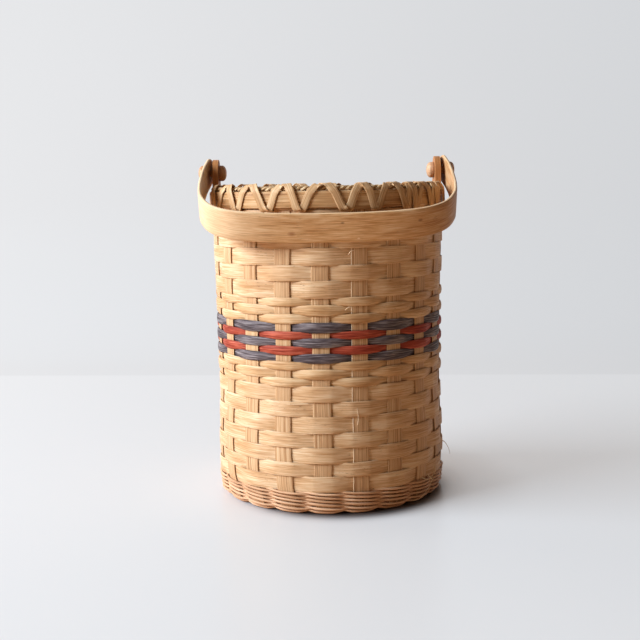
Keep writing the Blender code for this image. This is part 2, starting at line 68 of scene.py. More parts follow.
# Radius of the wall against its height, both as shares
WALL_CURVE = (
    (0.000, 0.985), (0.034, 0.985), (0.069, 0.999), (0.137, 1.008), (0.206, 1.004),
    (0.353, 0.989), (0.651, 0.995), (0.812, 1.009), (0.890, 1.007), (0.949, 1.001),
    (1.000, 1.000), (1.100, 1.000),
)
WALL_BLEND = 5.0 * MM  # heights are averaged this far up and down, so the wall has no kinks
WALL_TABLE_TOP = 340  # in mm; nothing asks for the wall's radius above it

# The CAD's wall stands plumb. A handmade one leans round, here most at the lower left of the front
LEAN_CURVE = ((0.0, 0.0), (28 * MM, 0.75), (75 * MM, 1.0), (185 * MM, 0.5), (276 * MM, 0.0))
LEAN_TURN = math.radians(-50.0)
LEAN_SPREAD = math.radians(34.0)
LEAN_MOST = math.radians(3.8)
LEAN_UNEVEN = math.radians(1.6)
LEAN_DRIFT = 90 * MM  # the unevenness changes over this height
LEAN_DETAIL = 2.2  # and about this often round the wall

# Weave
WEAVE_STEPS = 20  # stations between two uprights
FLAT_SHARE = 0.235  # a weaver lies along an upright this far to each side, in arm pitches
CROSSING_POWER = 1.15  # a row leaves an upright a little slower than in a straight line
ROW_PRESS = 0.50 * MM  # the rows are beaten down until they press on each other
FIRST_ROW_SINK = 0.4 * MM  # the first row sits down on the twining
ROW_THICKNESS = 1.0 * MM
ROW_SWAY = 0.45 * MM  # the rows rise and fall this much at most, neighbours together
ROW_SWAY_DRIFT = 14 * MM
ROW_SWAY_DETAIL = 2.6
ROW_OUTSIDE = 1.10 * MM  # from the wall's middle surface to a row outside an upright
UPRIGHT_PUSH = 0.22 * MM  # the rows press an upright this far out or in
UPRIGHT_UNEVEN = 0.012  # share of its width, which wanders over the next length
UPRIGHT_DRIFT = 9 * MM

# Rim
HOOP_BOTTOM = 276.9 * MM
OUTER_HOOP = (110.6 * MM, 113.4 * MM)
INNER_HOOP = (103.6 * MM, 106.4 * MM)
EAR_INNER_X = 103.9 * MM
EAR_OUTER_X = 109.7 * MM
PIVOT_HEIGHT = 309.5 * MM
PIVOT = Vector((0.0, 0.0, PIVOT_HEIGHT))
HANDLE_WIDTH = 28.0 * MM


def out(turn):
    """The level direction at an angle from the front, positive towards +X."""
    return Vector((math.sin(turn), -math.cos(turn), 0.0))


def along(turn):
    """The level direction round the wall at an angle, in which the angle grows."""
    return Vector((math.cos(turn), math.sin(turn), 0.0))


def at(turn, radius, height):
    """The place at an angle from the front, this far out and this high."""
    return out(turn) * radius + UP * height


def ring_turn(point):
    """The angle of a place from the front."""
    return math.atan2(point.x, -point.y)


def mix(low, high, share):
    """The value at a share of the way from low to high."""
    return low + (high - low) * share


def smooth(share):
    """Eases a share in and out, and keeps it between 0 and 1."""
    share = min(max(share, 0.0), 1.0)
    return share * share * (3 - 2 * share)


def bends(steps):
    """The angles of a quarter turn in equal steps, both ends included."""
    return [QUARTER * step / steps for step in range(steps + 1)]


def read_curve(curve, place, ease=lambda share: share):
    """The value at a place on a curve of (place, value) corners, and the last value past its end."""
    for (low, low_value), (high, high_value) in zip(curve, curve[1:]):
        if place <= high:
            return mix(low_value, high_value, ease((place - low) / (high - low)))
    return curve[-1][1]


def wander(*place):
    """A slow repeatable wander between about -1 and 1, for handmade unevenness."""
    return noise.noise(Vector((list(place) + [0.0, 0.0, 0.0])[:3]))


def ring_wander(turn, detail, level, start=0.0):
    """A wander that closes on itself round the wall."""
    return wander(detail * math.sin(turn) + start, detail * math.cos(turn), level)


def curve_radius(height):
    """Radius of the wall as its curve gives it, with a kink at each corner."""
    return WALL_RADIUS * read_curve(WALL_CURVE, max(height / WALL_HEIGHT, 0.0))


# One value a millimetre, each averaged over the heights about it
WALL_TABLE = [sum(curve_radius(height * MM + WALL_BLEND * step / 2) for step in range(-2, 3)) / 5
              for height in range(WALL_TABLE_TOP)]


def wall_radius(height):
    """Radius of the uprights' middle surface at a height."""
    level = max(height / MM, 0.0)
    low = int(level)
    return mix(WALL_TABLE[low], WALL_TABLE[low + 1], level - low)


def leaned(place):
    """Where a woven point ends up, since the uprights of a handmade wall don't stand quite plumb."""
    turn = ring_turn(place)
    strength = read_curve(LEAN_CURVE, max(place.z, 0.0), smooth)
    off = (turn - LEAN_TURN) / LEAN_SPREAD
    uneven = LEAN_UNEVEN * ring_wander(turn, LEAN_DETAIL, place.z / LEAN_DRIFT)
    lean = strength * (uneven - LEAN_MOST * math.exp(-off * off))
    return at(turn + lean, math.hypot(place.x, place.y), place.z)


# Mesh helpers

def linked(name, data):
    """An object in the scene that holds a mesh, a curve, a lamp or a camera."""
    obj = bpy.data.objects.new(name, data)
    bpy.context.scene.collection.objects.link(obj)
    return obj


def new_object(name, bm):
    """Makes a mesh object from a bmesh, which is used up."""
    mesh = bpy.data.meshes.new(name)
    bm.to_mesh(mesh)
    bm.free()
    return linked(name, mesh)


def new_piece(name, bm, material, slot, replaced=(), body="basket", shade=True):
    """Turns a bmesh into a finished piece that rides on a body and stands for CAD nodes."""
    bmesh.ops.remove_doubles(bm, verts=bm.verts, dist=WELD)
    bmesh.ops.recalc_face_normals(bm, faces=bm.faces)
    for face in bm.faces:
        face.smooth = shade
    obj = new_object(name, bm)
    obj.data.materials.append(material)
    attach(obj, body)
    if replaced:
        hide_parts(*replaced)
    return obj


def shown_mesh(obj):
    """The mesh that an object shows once its curve or its modifiers are worked out."""
    return bpy.data.meshes.new_from_object(obj.evaluated_get(bpy.context.evaluated_depsgraph_get()))


def fill_ends(bm):
    """Closes the open ends of a tube or a strip."""
    bmesh.ops.holes_fill(bm, edges=[edge for edge in bm.edges if edge.is_boundary], sides=0)


def grow(bm, grown, way):
    """Moves what an extrusion has made, and gives its faces."""
    bmesh.ops.translate(bm, verts=[item for item in grown["geom"] if isinstance(item, bmesh.types.BMVert)],
                        vec=way)
    return [item for item in grown["geom"] if isinstance(item, bmesh.types.BMFace)]


def map_grain(bm, place_of):
    """Writes the grain map, in metres along and across the grain, from a function of (corner, face)."""
    layer = bm.loops.layers.uv.new("grain")
    for face in bm.faces:
        for corner in face.loops:
            corner[layer].uv = place_of(corner, face)


def wrap(across, along_count, place, grain, closed=False):
    """Rolls a grid of faces into a skin. place and grain give each corner from its two steps.

    The grid's two long edges are welded. Its ends are welded too on a closed ring, and filled
    on a strip.
    """
    bm = bmesh.new()
    bmesh.ops.create_grid(bm, x_segments=across, y_segments=along_count, size=1.0)
    steps = {vert: (round((vert.co.x + 1) / 2 * across), round((vert.co.y + 1) / 2 * along_count))
             for vert in bm.verts}
    map_grain(bm, lambda corner, face: grain(*steps[corner.vert]))
    for vert, step in steps.items():
        vert.co = place(*step)
    bmesh.ops.remove_doubles(bm, verts=bm.verts, dist=WELD)
    if not closed:
        fill_ends(bm)
    return bm


def smooth_line(corners, steps):
    """A smooth line through the corners, with so many steps from each to the next."""
    ends = [2 * corners[0] - corners[1]] + corners + [2 * corners[-1] - corners[-2]]
    points = []
    for before, start, stop, after in zip(ends, ends[1:], ends[2:], ends[3:]):
        for step in range(steps):
            t = step / steps
            points.append(0.5 * (2 * start + (stop - before) * t
                                 + (2 * before - 5 * start + 4 * stop - after) * t * t
                                 + (3 * start - before - 3 * stop + after) * t ** 3))
    points.append(corners[-1])
    return points


def runs(places):
    """Which way a line runs at each of its places: from the place before to the place after."""
    last = len(places) - 1
    return [places[min(step + 1, last)] - places[max(step - 1, 0)] for step in range(last + 1)]


def lengths_along(places):
    """How far along its line each place lies."""
    lengths = [0.0]
    for here, there in zip(places, places[1:]):
        lengths.append(lengths[-1] + (there - here).length)
    return lengths


def section(upper, lower):
    """A closed section of (across, depth) as shares, from its two halves: left edge to middle."""
    def whole(half):
        return half + [(-across, depth) for across, depth in reversed(half) if across]
    return whole(upper) + [(-across, depth) for across, depth in whole(lower)]


def station(place, run, face_out, width, depth):
    """A matrix whose X runs across the strip, Y out of its face and Z along it."""
    run = run.normalized()
    across = face_out.cross(run).normalized()
    proud = run.cross(across).normalized()
    turn = Matrix((across, proud, run)).transposed().to_4x4()
    return Matrix.Translation(place) @ turn @ Matrix.Diagonal((width, depth, 1.0, 1.0))


def strip(profile, path, shift):
    """Lays a section along a path of (place, outward face, width, thickness)."""
    places = [spot[0] for spot in path]
    stations = [station(place, run, *spot) for (place, *spot), run in zip(path, runs(places))]
    lengths = lengths_along(places)
    points = [Vector((across, depth, 0.0)) for across, depth in profile]
    widest = max(spot[2] for spot in path)
    return wrap(len(points), len(path) - 1,
                lambda index, step: stations[step] @ points[index % len(points)],
                lambda index, step: (lengths[step] + shift[0],
                                     points[index % len(points)].x * widest + shift[1]))


def rod(name, points, radii, sides, material, slot, replaced=(), shift=0.0):
    """A round rod of changing thickness along a line of points."""
    curve = bpy.data.curves.new(name, "CURVE")
    curve.dimensions = "3D"
    curve.bevel_depth = 1.0
    curve.bevel_resolution = (sides - 4) // 2
    spline = curve.splines.new("POLY")
    spline.points.add(len(points) - 1)
    spline.points.foreach_set("co", [value for point in points for value in (*point, 1.0)])
    spline.points.foreach_set("radius", radii)
    drawn = linked(name, curve)
    mesh = shown_mesh(drawn)
    bm = bmesh.new()
    bm.from_mesh(mesh)
    bpy.data.objects.remove(drawn)
    bpy.data.curves.remove(curve)
    bpy.data.meshes.remove(mesh)
    fill_ends(bm)
    for layer in bm.loops.layers.uv.values():
        bm.loops.layers.uv.remove(layer)
    lengths = lengths_along(points)
    girth = TAU * sum(radii) / len(radii)

    def grain(corner, face):
        steps = [vert.index % sides for vert in face.verts]
        index = corner.vert.index % sides
        if max(steps) - min(steps) > sides / 2 and index < sides / 2:
            index += sides
        return (lengths[corner.vert.index // sides] + shift, girth * index / sides)

    map_grain(bm, grain)
    new_piece(name, bm, material, slot, replaced)


# Materials

def linear(hex_colour):
    """The linear colour of an sRGB hex value."""
    values = [int(hex_colour[i:i + 2], 16) / 255 for i in (1, 3, 5)]
    parts = [v / 12.92 if v <= 0.04045 else ((v + 0.055) / 1.055) ** 2.4 for v in values]
    return (*parts, 1.0)


def node(tree, kind, links=(), **settings):
    """Adds a node with its settings, and links (its input, from node, from output) into it."""
    made = tree.nodes.new("ShaderNode" + kind)
    for key, value in settings.items():
        if key == "inputs":
            for socket, number in value.items():
                made.inputs[socket].default_value = number
        elif key == "stops":
            ramp = made.color_ramp
            while len(ramp.elements) < len(value):
                ramp.elements.new(1.0)
            for element, (position, colour) in zip(ramp.elements, value):
                element.position = position
                element.color = linear(colour) if isinstance(colour, str) else (colour,) * 3 + (1.0,)
        else:
            setattr(made, key, value)
    for socket, source, output in links:
        tree.links.new(source.outputs[output], made.inputs[socket])
    return made


def new_material(name):
    """A material with its node tree and its shader."""
    material = bpy.data.materials.new(name)
    material.use_nodes = True
    return material, material.node_tree, material.node_tree.nodes["Principled BSDF"]


def reed_finish(name, tones, fleck, grain_mm, run_mm, patch_mm=45.0, streak=0.6, lines=0.35,
                flecks=0.5, roughness=0.48, bump_mm=0.12, sheen=0.05, specular=0.2):
    """Split or sanded plant fibre whose grain runs along the piece, read from its grain map.

    The eye sees streaks a little darker than the body, thin dark lines between bundles of fibre,
    slow changes of tone from one stretch to the next, short dark flecks where the fibre was
    nicked, and a soft waxy gloss. tones are the pale, middle and deep colours of the body.
    """
    pale, middle, deep = tones
    material, tree, shader = new_material(name)
    grain = node(tree, "UVMap", uv_map="grain")

    def pattern(run, spacing, start, detail, rough):
        """Noise stretched along the grain: this long and this wide in mm."""
        spot = node(tree, "Mapping", [("Vector", grain, "UV")],
                    inputs={"Scale": (1 / (run * MM), 1 / (spacing * MM), 1.0), "Location": start})
        return node(tree, "TexNoise", [("Vector", spot, "Vector")],
                    inputs={"Scale": 1.0, "Detail": detail, "Roughness": rough})

    # Real fibres are about 0.2 mm apart, under a pixel here, so the streaks are drawn coarser
    streaks = pattern(run_mm, grain_mm, (0, 0, 0), 3.0, 0.6)
    patches = pattern(patch_mm, patch_mm * 0.22, (2.7, 5.9, 0), 2.0, 0.5)
    bundles = pattern(run_mm * 1.7, grain_mm * 1.6, (4.1, 8.3, 0), 1.0, 0.5)
    nicks = pattern(6.0, 0.9, (7.3, 3.1, 0), 2.0, 0.7)
    nicked = pattern(38.0, 16.0, (1.9, 6.7, 0), 1.0, 0.5)
    shade = node(tree, "Mix", [("A", patches, "Fac"), ("B", streaks, "Fac")],
                 data_type="FLOAT", inputs={"Factor": streak})
    body = node(tree, "ValToRGB", [("Fac", shade, "Result")],
                stops=[(0.37, deep), (0.50, middle), (0.62, pale)])
    line = node(tree, "MapRange", [("Value", bundles, "Fac")],
                inputs={"From Min": 0.42, "From Max": 0.33, "To Min": 0.0, "To Max": lines})
    # Flecks come in clusters, where a strip was nicked
    clusters = node(tree, "MapRange", [("Value", nicked, "Fac")],
                    inputs={"From Min": 0.52, "From Max": 0.66, "To Min": 0.15 * flecks, "To Max": flecks})
    mark = node(tree, "MapRange", [("Value", nicks, "Fac"), ("To Max", clusters, "Result")],
                inputs={"From Min": 0.60, "From Max": 0.70, "To Min": 0.0})
    lined = node(tree, "MixRGB", [("Fac", line, "Result"), ("Color1", body, "Color")],
                 inputs={"Color2": linear(deep)}, blend_type="MULTIPLY")
    marked = node(tree, "MixRGB", [("Fac", mark, "Result"), ("Color1", lined, "Color")],
                  inputs={"Color2": linear(fleck)})
    # The gloss changes a little with the streaks
    gloss = node(tree, "MapRange", [("Value", streaks, "Fac")],
                 inputs={"From Min": 0.3, "From Max": 0.7, "To Min": roughness + 0.08,
                         "To Max": roughness - 0.08})
    relief = node(tree, "Bump", [("Height", streaks, "Fac")],
                  inputs={"Strength": 1.0, "Distance": bump_mm * MM})
    tree.links.new(marked.outputs["Color"], shader.inputs["Base Color"])
    tree.links.new(gloss.outputs["Result"], shader.inputs["Roughness"])
    tree.links.new(relief.outputs["Normal"], shader.inputs["Normal"])
    shader.inputs["IOR"].default_value = 1.5
    shader.inputs["Specular IOR Level"].default_value = specular  # open fibre scatters most of the gloss
    shader.inputs["Sheen Weight"].default_value = sheen
    shader.inputs["Sheen Roughness"].default_value = 0.4
    return material


def overlay(material, colour, make_factor):
    """Mixes a colour over what a material already has, as far as a factor read off the grain map says."""
    tree = material.node_tree
    socket = tree.nodes["Principled BSDF"].inputs["Base Color"]
    under = socket.links[0].from_socket
    factor = make_factor(tree, node(tree, "UVMap", uv_map="grain"))
    over = node(tree, "MixRGB", [("Fac", factor, "Result")], inputs={"Color2": linear(colour)})
    tree.links.new(under, over.inputs["Color1"])
    tree.links.new(over.outputs["Color"], socket)


def worn_and_highlit_edges(material, half_width, rubbed, strength, colour):
    """The two edges of a band are paler, this far in: partly rubbed by hands, partly a painted highlight.
    """
    def factor(tree, grain):
        split = node(tree, "SeparateXYZ", [("Vector", grain, "UV")])
        off = node(tree, "Math", [(0, split, "Y")], operation="ABSOLUTE")
        return node(tree, "MapRange", [("Value", off, "Value")],
                    inputs={"From Min": half_width - rubbed, "From Max": half_width, "To Max": strength})
    overlay(material, colour, factor)


def painted_end_shading(material, start, stop, strength, colour):
    """Paints light and shade along a piece: a tone over one end, none at start and full from stop on."""
    def factor(tree, grain):
        split = node(tree, "SeparateXYZ", [("Vector", grain, "UV")])
        return node(tree, "MapRange", [("Value", split, "X")], interpolation_type="SMOOTHSTEP",
                    inputs={"From Min": start, "From Max": stop, "To Max": strength})
    overlay(material, colour, factor)


def knot(material, run, across, size, strength, colour):
    """One pin knot or speck at a place on the grain map, longer along the grain."""
    def factor(tree, grain):
        spot = node(tree, "Mapping", [("Vector", grain, "UV")], vector_type="TEXTURE",
                    inputs={"Location": (run, across, 0.0), "Scale": (size * 1.7, size, 1.0)})
        off = node(tree, "VectorMath", [("Vector", spot, "Vector")], operation="LENGTH")
        return node(tree, "MapRange", [("Value", off, "Value")],
                    inputs={"From Min": 1.0, "From Max": 0.3, "To Max": strength})
    overlay(material, colour, factor)


# Natural flat reed, split and unfinished: straw and tan streaks along the strip
WIDE_REED = reed_finish("natural_flat_reed", ("#EBD3AC", "#D9B488", "#BB9060"), "#6E4626",
                        grain_mm=0.9, run_mm=26.0, flecks=0.8)
# The same reed in a narrower crowned cut: a touch browner and finer
NARROW_REED = reed_finish("natural_flat_oval_reed", ("#E7CCA2", "#D3AD7E", "#B28656"), "#6E4626",
                          grain_mm=0.8, run_mm=24.0, flecks=0.6)
# The uprights are browner splints with strong parallel fibre lines
UPRIGHT_REED = reed_finish("upright_flat_reed", ("#E2C49A", "#D0A97C", "#A97C50"), "#6A4024",
                           grain_mm=0.6, run_mm=90.0, streak=0.9, lines=0.55, flecks=0.35, bump_mm=0.2)
# Reed dipped in cold dye, dull: the colour is thin on the fibre tops, so pale streaks show
BLUE_REED = reed_finish("slate_blue_dyed_reed", ("#979090", "#5F5658", "#3A3132"), "#262021",
                        grain_mm=0.9, run_mm=20.0, streak=0.75, roughness=0.5, sheen=0.0, specular=0.1)
RED_REED = reed_finish("brick_red_dyed_reed", ("#C66C54", "#A54A36", "#7E2E20"), "#54201A",
                       grain_mm=0.9, run_mm=20.0, streak=0.7, flecks=0.3, roughness=0.5, sheen=0.0,
                       specular=0.1)
# Round reed is drawn from the core of the vine: even, pinkish brown
ROUND_REED = reed_finish("round_core_reed", ("#E7C19B", "#D5AA82", "#B4875F"), "#6A4026",
                         grain_mm=1.1, run_mm=30.0, streak=0.5, lines=0.2, patch_mm=60.0)
# Rim splint with rounded edges, sanded smooth: wide calm streaks
RIM_REED = reed_finish("sanded_rim_splint", ("#E2C295", "#CBA16F", "#A87B4A"), "#6E4424",
                       grain_mm=1.4, run_mm=60.0, flecks=0.4)
# Thin split reed for lashing: pale, with few flecks
LASH_REED = reed_finish("lashing_reed", ("#E6CA9E", "#D0AA7B", "#AE8354"), "#6E4424",
                        grain_mm=0.9, run_mm=40.0, flecks=0.3)
# Twisted seagrass: pale straw outside, brown in the lay
SEAGRASS = reed_finish("twisted_seagrass", ("#F0DEBA", "#D0B080", "#7C5830"), "#4A3220",
                       grain_mm=0.8, run_mm=6.0, flecks=0.6, roughness=0.6, bump_mm=0.3)
# Hairs of dry reed: nearly white where they stand in the light
LOOSE_FIBRE = reed_finish("loose_reed_fibre", ("#FFF3D8", "#F8E4C0", "#E8CDA0"), "#C8A478",
                          grain_mm=1.0, run_mm=20.0, flecks=0.2)
# Sawn ash: darker and redder than the bent band, with straight grain up the ear
EAR_WOOD = reed_finish("sawn_ash_ear", ("#CB9058", "#B47A48", "#8C562A"), "#5E3418",
                       grain_mm=1.3, run_mm=40.0, flecks=0.3)
# Turned birch: close pinkish grain, a little glossier off the lathe
TURNED_BIRCH = reed_finish("turned_birch", ("#E0B890", "#CFA27A", "#B08058"), "#7A4A2C",
                           grain_mm=1.2, run_mm=12.0, flecks=0.2, roughness=0.38)
# Steam-bent ash: honey brown with long open grain, small pin knots, and paler edges
BENT_ASH = reed_finish("steam_bent_ash", ("#ECCFA3", "#DAB07C", "#B4834B"), "#5E3418",
                       grain_mm=0.8, run_mm=22.0, lines=0.3, patch_mm=30.0, streak=0.7, roughness=0.45)
# Painted shade over the band's right end, away from the window, and a painted highlight over its left end
painted_end_shading(BENT_ASH, -10 * MM, -110 * MM, 0.35, "#8E5C36")
painted_end_shading(BENT_ASH, 20 * MM, 110 * MM, 0.46, "#F1DBB5")
# Paler edges of the band: partly rubbed, partly a painted highlight where the edge catches the light
worn_and_highlit_edges(BENT_ASH, HANDLE_WIDTH / 2, 0.6 * MM, 0.7, "#EFD3A8")
# Three knots and a pale speck: mm along from the band's middle, mm across, size in mm, strength, colour
for run_at, across_at, knot_size, knot_strength, knot_colour in (
    (32, -5, 2.6, 0.55, "#8A4A20"), (-12, 5, 1.3, 0.6, "#5E3418"),
    (-80, 3, 1.6, 0.6, "#5E3418"), (-26, -10, 1.0, 0.8, "#F6DDB8"),
):
    knot(BENT_ASH, run_at * MM, across_at * MM, knot_size * MM, knot_strength, knot_colour)


# Uprights

STRIP_SECTION = section(
    [(-0.500, 0.00), (-0.490, 0.30), (-0.455, 0.47), (-0.250, 0.50), (0.000, 0.50)],
    [(-0.490, -0.30), (-0.455, -0.47), (0.000, -0.50)])
UPRIGHT_TOP = WALL_HEIGHT - 0.3 * MM
UPRIGHT_STEPS = 110
BEND_STEPS = 8
SPOKE_GRAIN = 0.043  # each piece is cut from another place of the grain, this far on in metres
# The rows from the foot up. Each fills the room between the middles of the gaps that the CAD leaves
ROW_KINDS = ["wide"] * 7 + ["narrow"] * 3 + ["blue", "red"] * 2 + ["blue"] + ["narrow"] * 3 + ["wide"] * 5
ROW_NAMES = [f"{kind}_weaver_{row:02d}" for row, kind in enumerate(ROW_KINDS, 1)] + ["rim_weaver"]
ROW_ENDS = [(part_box(name)[0].z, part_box(name)[1].z) for name in ROW_NAMES]
ROW_EDGES = [ROW_ENDS[0][0] - FIRST_ROW_SINK]
ROW_EDGES += [(below[1] + above[0]) / 2 for below, above in zip(ROW_ENDS, ROW_ENDS[1:])]
ROW_EDGES += [ROW_ENDS[-1][1]]


def row_side(arm, row):
    """1 where a row passes outside an upright and -1 where it passes inside."""
    return 1.0 if (arm + row) % 2 == 0 else -1.0


def upright_push(arm, height):
    """An upright gives way a little to the weavers: out where they pass inside, in where outside."""
    for row, (bottom, top) in enumerate(ROW_ENDS):
        if bottom <= height <= top:
            share = (height - bottom) / (top - bottom)
            return -row_side(arm, row) * math.sin(math.pi * share) * UPRIGHT_PUSH
    return 0.0


def arm_path(arm, level):
    """Places and widths of one arm from the hub, where it lies at a level, to the rim."""
    way = out(FIRST_ARM + ARM_TURN * arm)
    bend_radius = FOOT_RADIUS - FOOT_BEND
    centre = way * bend_radius + UP * FOOT_TOP
    shares = [step / BEND_STEPS for step in range(1, BEND_STEPS + 1)]
    path = [(way * mix(HUB_REACH, ARM_REACH, share) + UP * mix(level, ARM_LEVEL, smooth(share)),
             mix(HUB_WIDTH, SPOKE_WIDTH, share)) for share in [0.0] + shares]
    path += [(way * mix(ARM_REACH, bend_radius, share) + UP * ARM_LEVEL, SPOKE_WIDTH) for share in shares]
    path += [(centre + (way * math.sin(bend) - UP * math.cos(bend)) * FOOT_BEND, SPOKE_WIDTH)
             for bend in bends(BEND_STEPS)[1:]]
    for step in range(1, UPRIGHT_STEPS + 1):
        height = mix(FOOT_TOP, UPRIGHT_TOP, step / UPRIGHT_STEPS)
        radius = mix(FOOT_RADIUS, wall_radius(height), smooth(step / 4))
        width = SPOKE_WIDTH * (1 + UPRIGHT_UNEVEN * wander(arm * 3.7, height / UPRIGHT_DRIFT))
        path.append((way * (radius + upright_push(arm, height)) + UP * height, width))
    return path


def make_spoke(index):
    """One splint up one side, under the base and up the other side."""
    level = HUB_LEVEL + HUB_STEP * index
    line = arm_path(index + ARM_COUNT // 2, level)[::-1] + arm_path(index, level)
    side = along(FIRST_ARM + ARM_TURN * index)
    path = [(place, run.cross(side), width, SPOKE_THICKNESS)
            for (place, width), run in zip(line, runs([place for place, width in line]))]
    bm = strip(STRIP_SECTION, path, (0.0, SPOKE_GRAIN * index))
    for vert in bm.verts:
        vert.co = leaned(vert.co)
    name = f"spoke_{index + 1:02d}"
    new_piece(name + "_splint", bm, UPRIGHT_REED, "natural_splint", [name])


# Weavers

FLAT_ROW = section(
    [(-0.500, 0.10), (-0.493, 0.36), (-0.470, 0.49), (-0.240, 0.55), (0.000, 0.57)],
    [(-0.500, -0.30), (-0.470, -0.48), (0.000, -0.50)])
CROWNED_ROW = section(
    [(-0.500, -0.05), (-0.480, 0.22), (-0.400, 0.62), (-0.260, 0.92), (-0.100, 1.08)],
    [(-0.470, -0.36), (-0.400, -0.48), (0.000, -0.50)])
BOW_UNEVEN = 0.6  # the floats of a row don't all bow as far
ROW_GRAIN = (0.11, 0.037)  # each row is cut this far on along and across the grain
# A row's section, its distance inside an upright, how far it bows, its share wider where it floats
FLAT_LOOK = (FLAT_ROW, 0.90 * MM, 0.35 * MM, 0.0)
CROWNED_LOOK = (CROWNED_ROW, 1.45 * MM, 0.55 * MM, 0.14)
ROW_LOOKS = {
    "wide": (*FLAT_LOOK, WIDE_REED, "natural_splint"),
    "rim": (FLAT_ROW, 0.90 * MM, 0.0, 0.0, WIDE_REED, "natural_splint"),
    "narrow": (*CROWNED_LOOK, NARROW_REED, "natural_splint"),
    "blue": (*CROWNED_LOOK, BLUE_REED, "blue_splint"),
    "red": (*CROWNED_LOOK, RED_REED, "red_splint"),
}


def weave_side(turn, row):
    """How a row lies at an angle, beside the upright that is nearest.

    Gives its side there, 1 outside and -1 inside, how fully it is on that side, from 1 at the
    upright to 0 where it crosses over, and the upright's distance in pitches and its number.
    """
    share = (turn - FIRST_ARM) / ARM_TURN
    arm = round(share)
    apart = abs(share - arm)
    past = max((apart - FLAT_SHARE) / (0.5 - FLAT_SHARE), 0.0)
    return row_side(arm, row), 1.0 - past ** CROSSING_POWER, apart, arm


def float_bow(apart):
    """1 over an upright, falling to 0 half way to the next."""
    return 0.5 + 0.5 * math.cos(TAU * apart)


def make_row(row, name, profile, inside, bow_most, spread, material, slot):
    """One ring of reed: over and under the uprights in turn, bowed and a little wider at each float."""
    bottom, top = ROW_EDGES[row:row + 2]
    height = top - bottom + ROW_PRESS
    count = len(profile)
    steps = ARM_COUNT * WEAVE_STEPS

    def place(index, step):
        turn = FIRST_ARM + math.pi + TAU * (step % steps) / steps
        across, depth = profile[index % count]
        side, beside, apart, arm = weave_side(turn, row)
        bow = bow_most * float_bow(apart)
        bow *= 1 + BOW_UNEVEN * wander(arm % ARM_COUNT * 5.1, row * 7.7)
        room = (inside if side < 0 else ROW_OUTSIDE) * beside
        level = (bottom + top) / 2 + across * height * (1 + spread * beside * beside)
        level += ROW_SWAY * ring_wander(turn, ROW_SWAY_DETAIL, level / ROW_SWAY_DRIFT, 9)
        return leaned(at(turn, wall_radius(level) + side * (room + bow) + depth * ROW_THICKNESS, level))

    def grain(index, step):
        reach = TAU * step / steps * WALL_RADIUS
        return (reach + ROW_GRAIN[0] * row, profile[index % count][0] * height + ROW_GRAIN[1] * row)

    bm = wrap(count, steps, place, grain, closed=True)
    new_piece(name + "_reed", bm, material, slot, [name])


# Twining

TWINE_START = 52.9 * MM
TWINE_BASE_ROUNDS = 15
TWINE_WALL_ROUNDS = 6
TWINE_STATIONS = 12  # between two uprights
TWINE_STEP = 0.15  # a rod climbs to its next round in this share of a turn, at the back
TWINE_RISE = 12 * MM  # above the foot the twining takes up the wall's own curve within this
ROD_RADIUS = 1.22 * MM
ROD_GAP = 0.02 * MM
ROD_WAIST = 0.76  # the rod is squeezed to this share where two cross
ROD_TOP = 19.8 * MM
ROD_UNEVEN = 0.30 * MM
TWINE_BULGE = 0.8 * MM  # how far a float bows off its upright, outside and inside
TWINE_INNER_BULGE = 0.24 * MM
TWINE_LIFT = 1.00 * MM  # how far a rod goes up or down past its partner
TWINE_LIFT_SHARE = 0.45  # of it, near an upright
BASE_RUN = FOOT_RADIUS - FOOT_BEND - TWINE_START
BEND_RUN = QUARTER * FOOT_BEND
TWINE_ROUNDS = TWINE_BASE_ROUNDS + TWINE_WALL_ROUNDS
TWINE_PITCH = (BASE_RUN + BEND_RUN + ROD_TOP - FOOT_TOP) / (TWINE_ROUNDS - 1)


def twine_line(travel):
    """Radius, height, outward direction and share of wall along the twining's middle line."""
    if travel < BASE_RUN:
        return TWINE_START + travel, ARM_LEVEL, (0.0, -1.0), 0.0
    if travel < BASE_RUN + BEND_RUN:
        bend = (travel - BASE_RUN) / FOOT_BEND
        sine = math.sin(bend)
        cosine = math.cos(bend)
        radius = FOOT_RADIUS - FOOT_BEND + FOOT_BEND * sine
        return radius, FOOT_TOP - FOOT_BEND * cosine, (sine, -cosine), bend / QUARTER
    rise = travel - BASE_RUN - BEND_RUN
    radius = mix(FOOT_RADIUS, wall_radius(FOOT_TOP + rise), smooth(rise / TWINE_RISE))
    return radius, FOOT_TOP + rise, (1.0, 0.0), 1.0


def make_twining_rod(name, rounds, phase, replaced, shift):
    """One rod of the pair: outside every other upright, and past its partner in between.

    Each rod comes out above its partner and goes in below it, so the rounds lie like a rope.
    """
    turn_steps = ARM_COUNT * TWINE_STATIONS
    points = []
    radii = []
    for step in range(len(rounds) * turn_steps + 1):
        turn = FIRST_ARM + math.pi + ARM_TURN * step / TWINE_STATIONS
        lap, past = divmod(step / turn_steps, 1.0)
        climb = smooth((past - 1 + TWINE_STEP) / TWINE_STEP) if lap < len(rounds) - 1 else 0.0
        travel = TWINE_PITCH * min(rounds[0] + lap + climb, rounds[-1])
        radius, level, (across, rise), wall = twine_line(travel)
        side, beside, apart, _ = weave_side(turn, phase)
        bulge = wall * float_bow(apart) * (TWINE_BULGE if side > 0 else TWINE_INNER_BULGE)
        push = side * ((SPOKE_THICKNESS / 2 + ROD_RADIUS + ROD_GAP) * beside + bulge)
        twist = math.sin(math.pi * (step / TWINE_STATIONS + phase))
        slide = ROD_UNEVEN * wander(step / 7, phase * 11 + lap)
        slide -= TWINE_LIFT * twist * mix(TWINE_LIFT_SHARE, 1.0, abs(twist))
        radius += across * push + (1 - across) * slide
        level += rise * push + across * slide
        points.append(leaned(at(turn, radius, level)))
        radii.append(ROD_RADIUS * mix(ROD_WAIST, 1.0, beside))
    rod(name, points, radii, 6, ROUND_REED, "round_rod", replaced, shift)


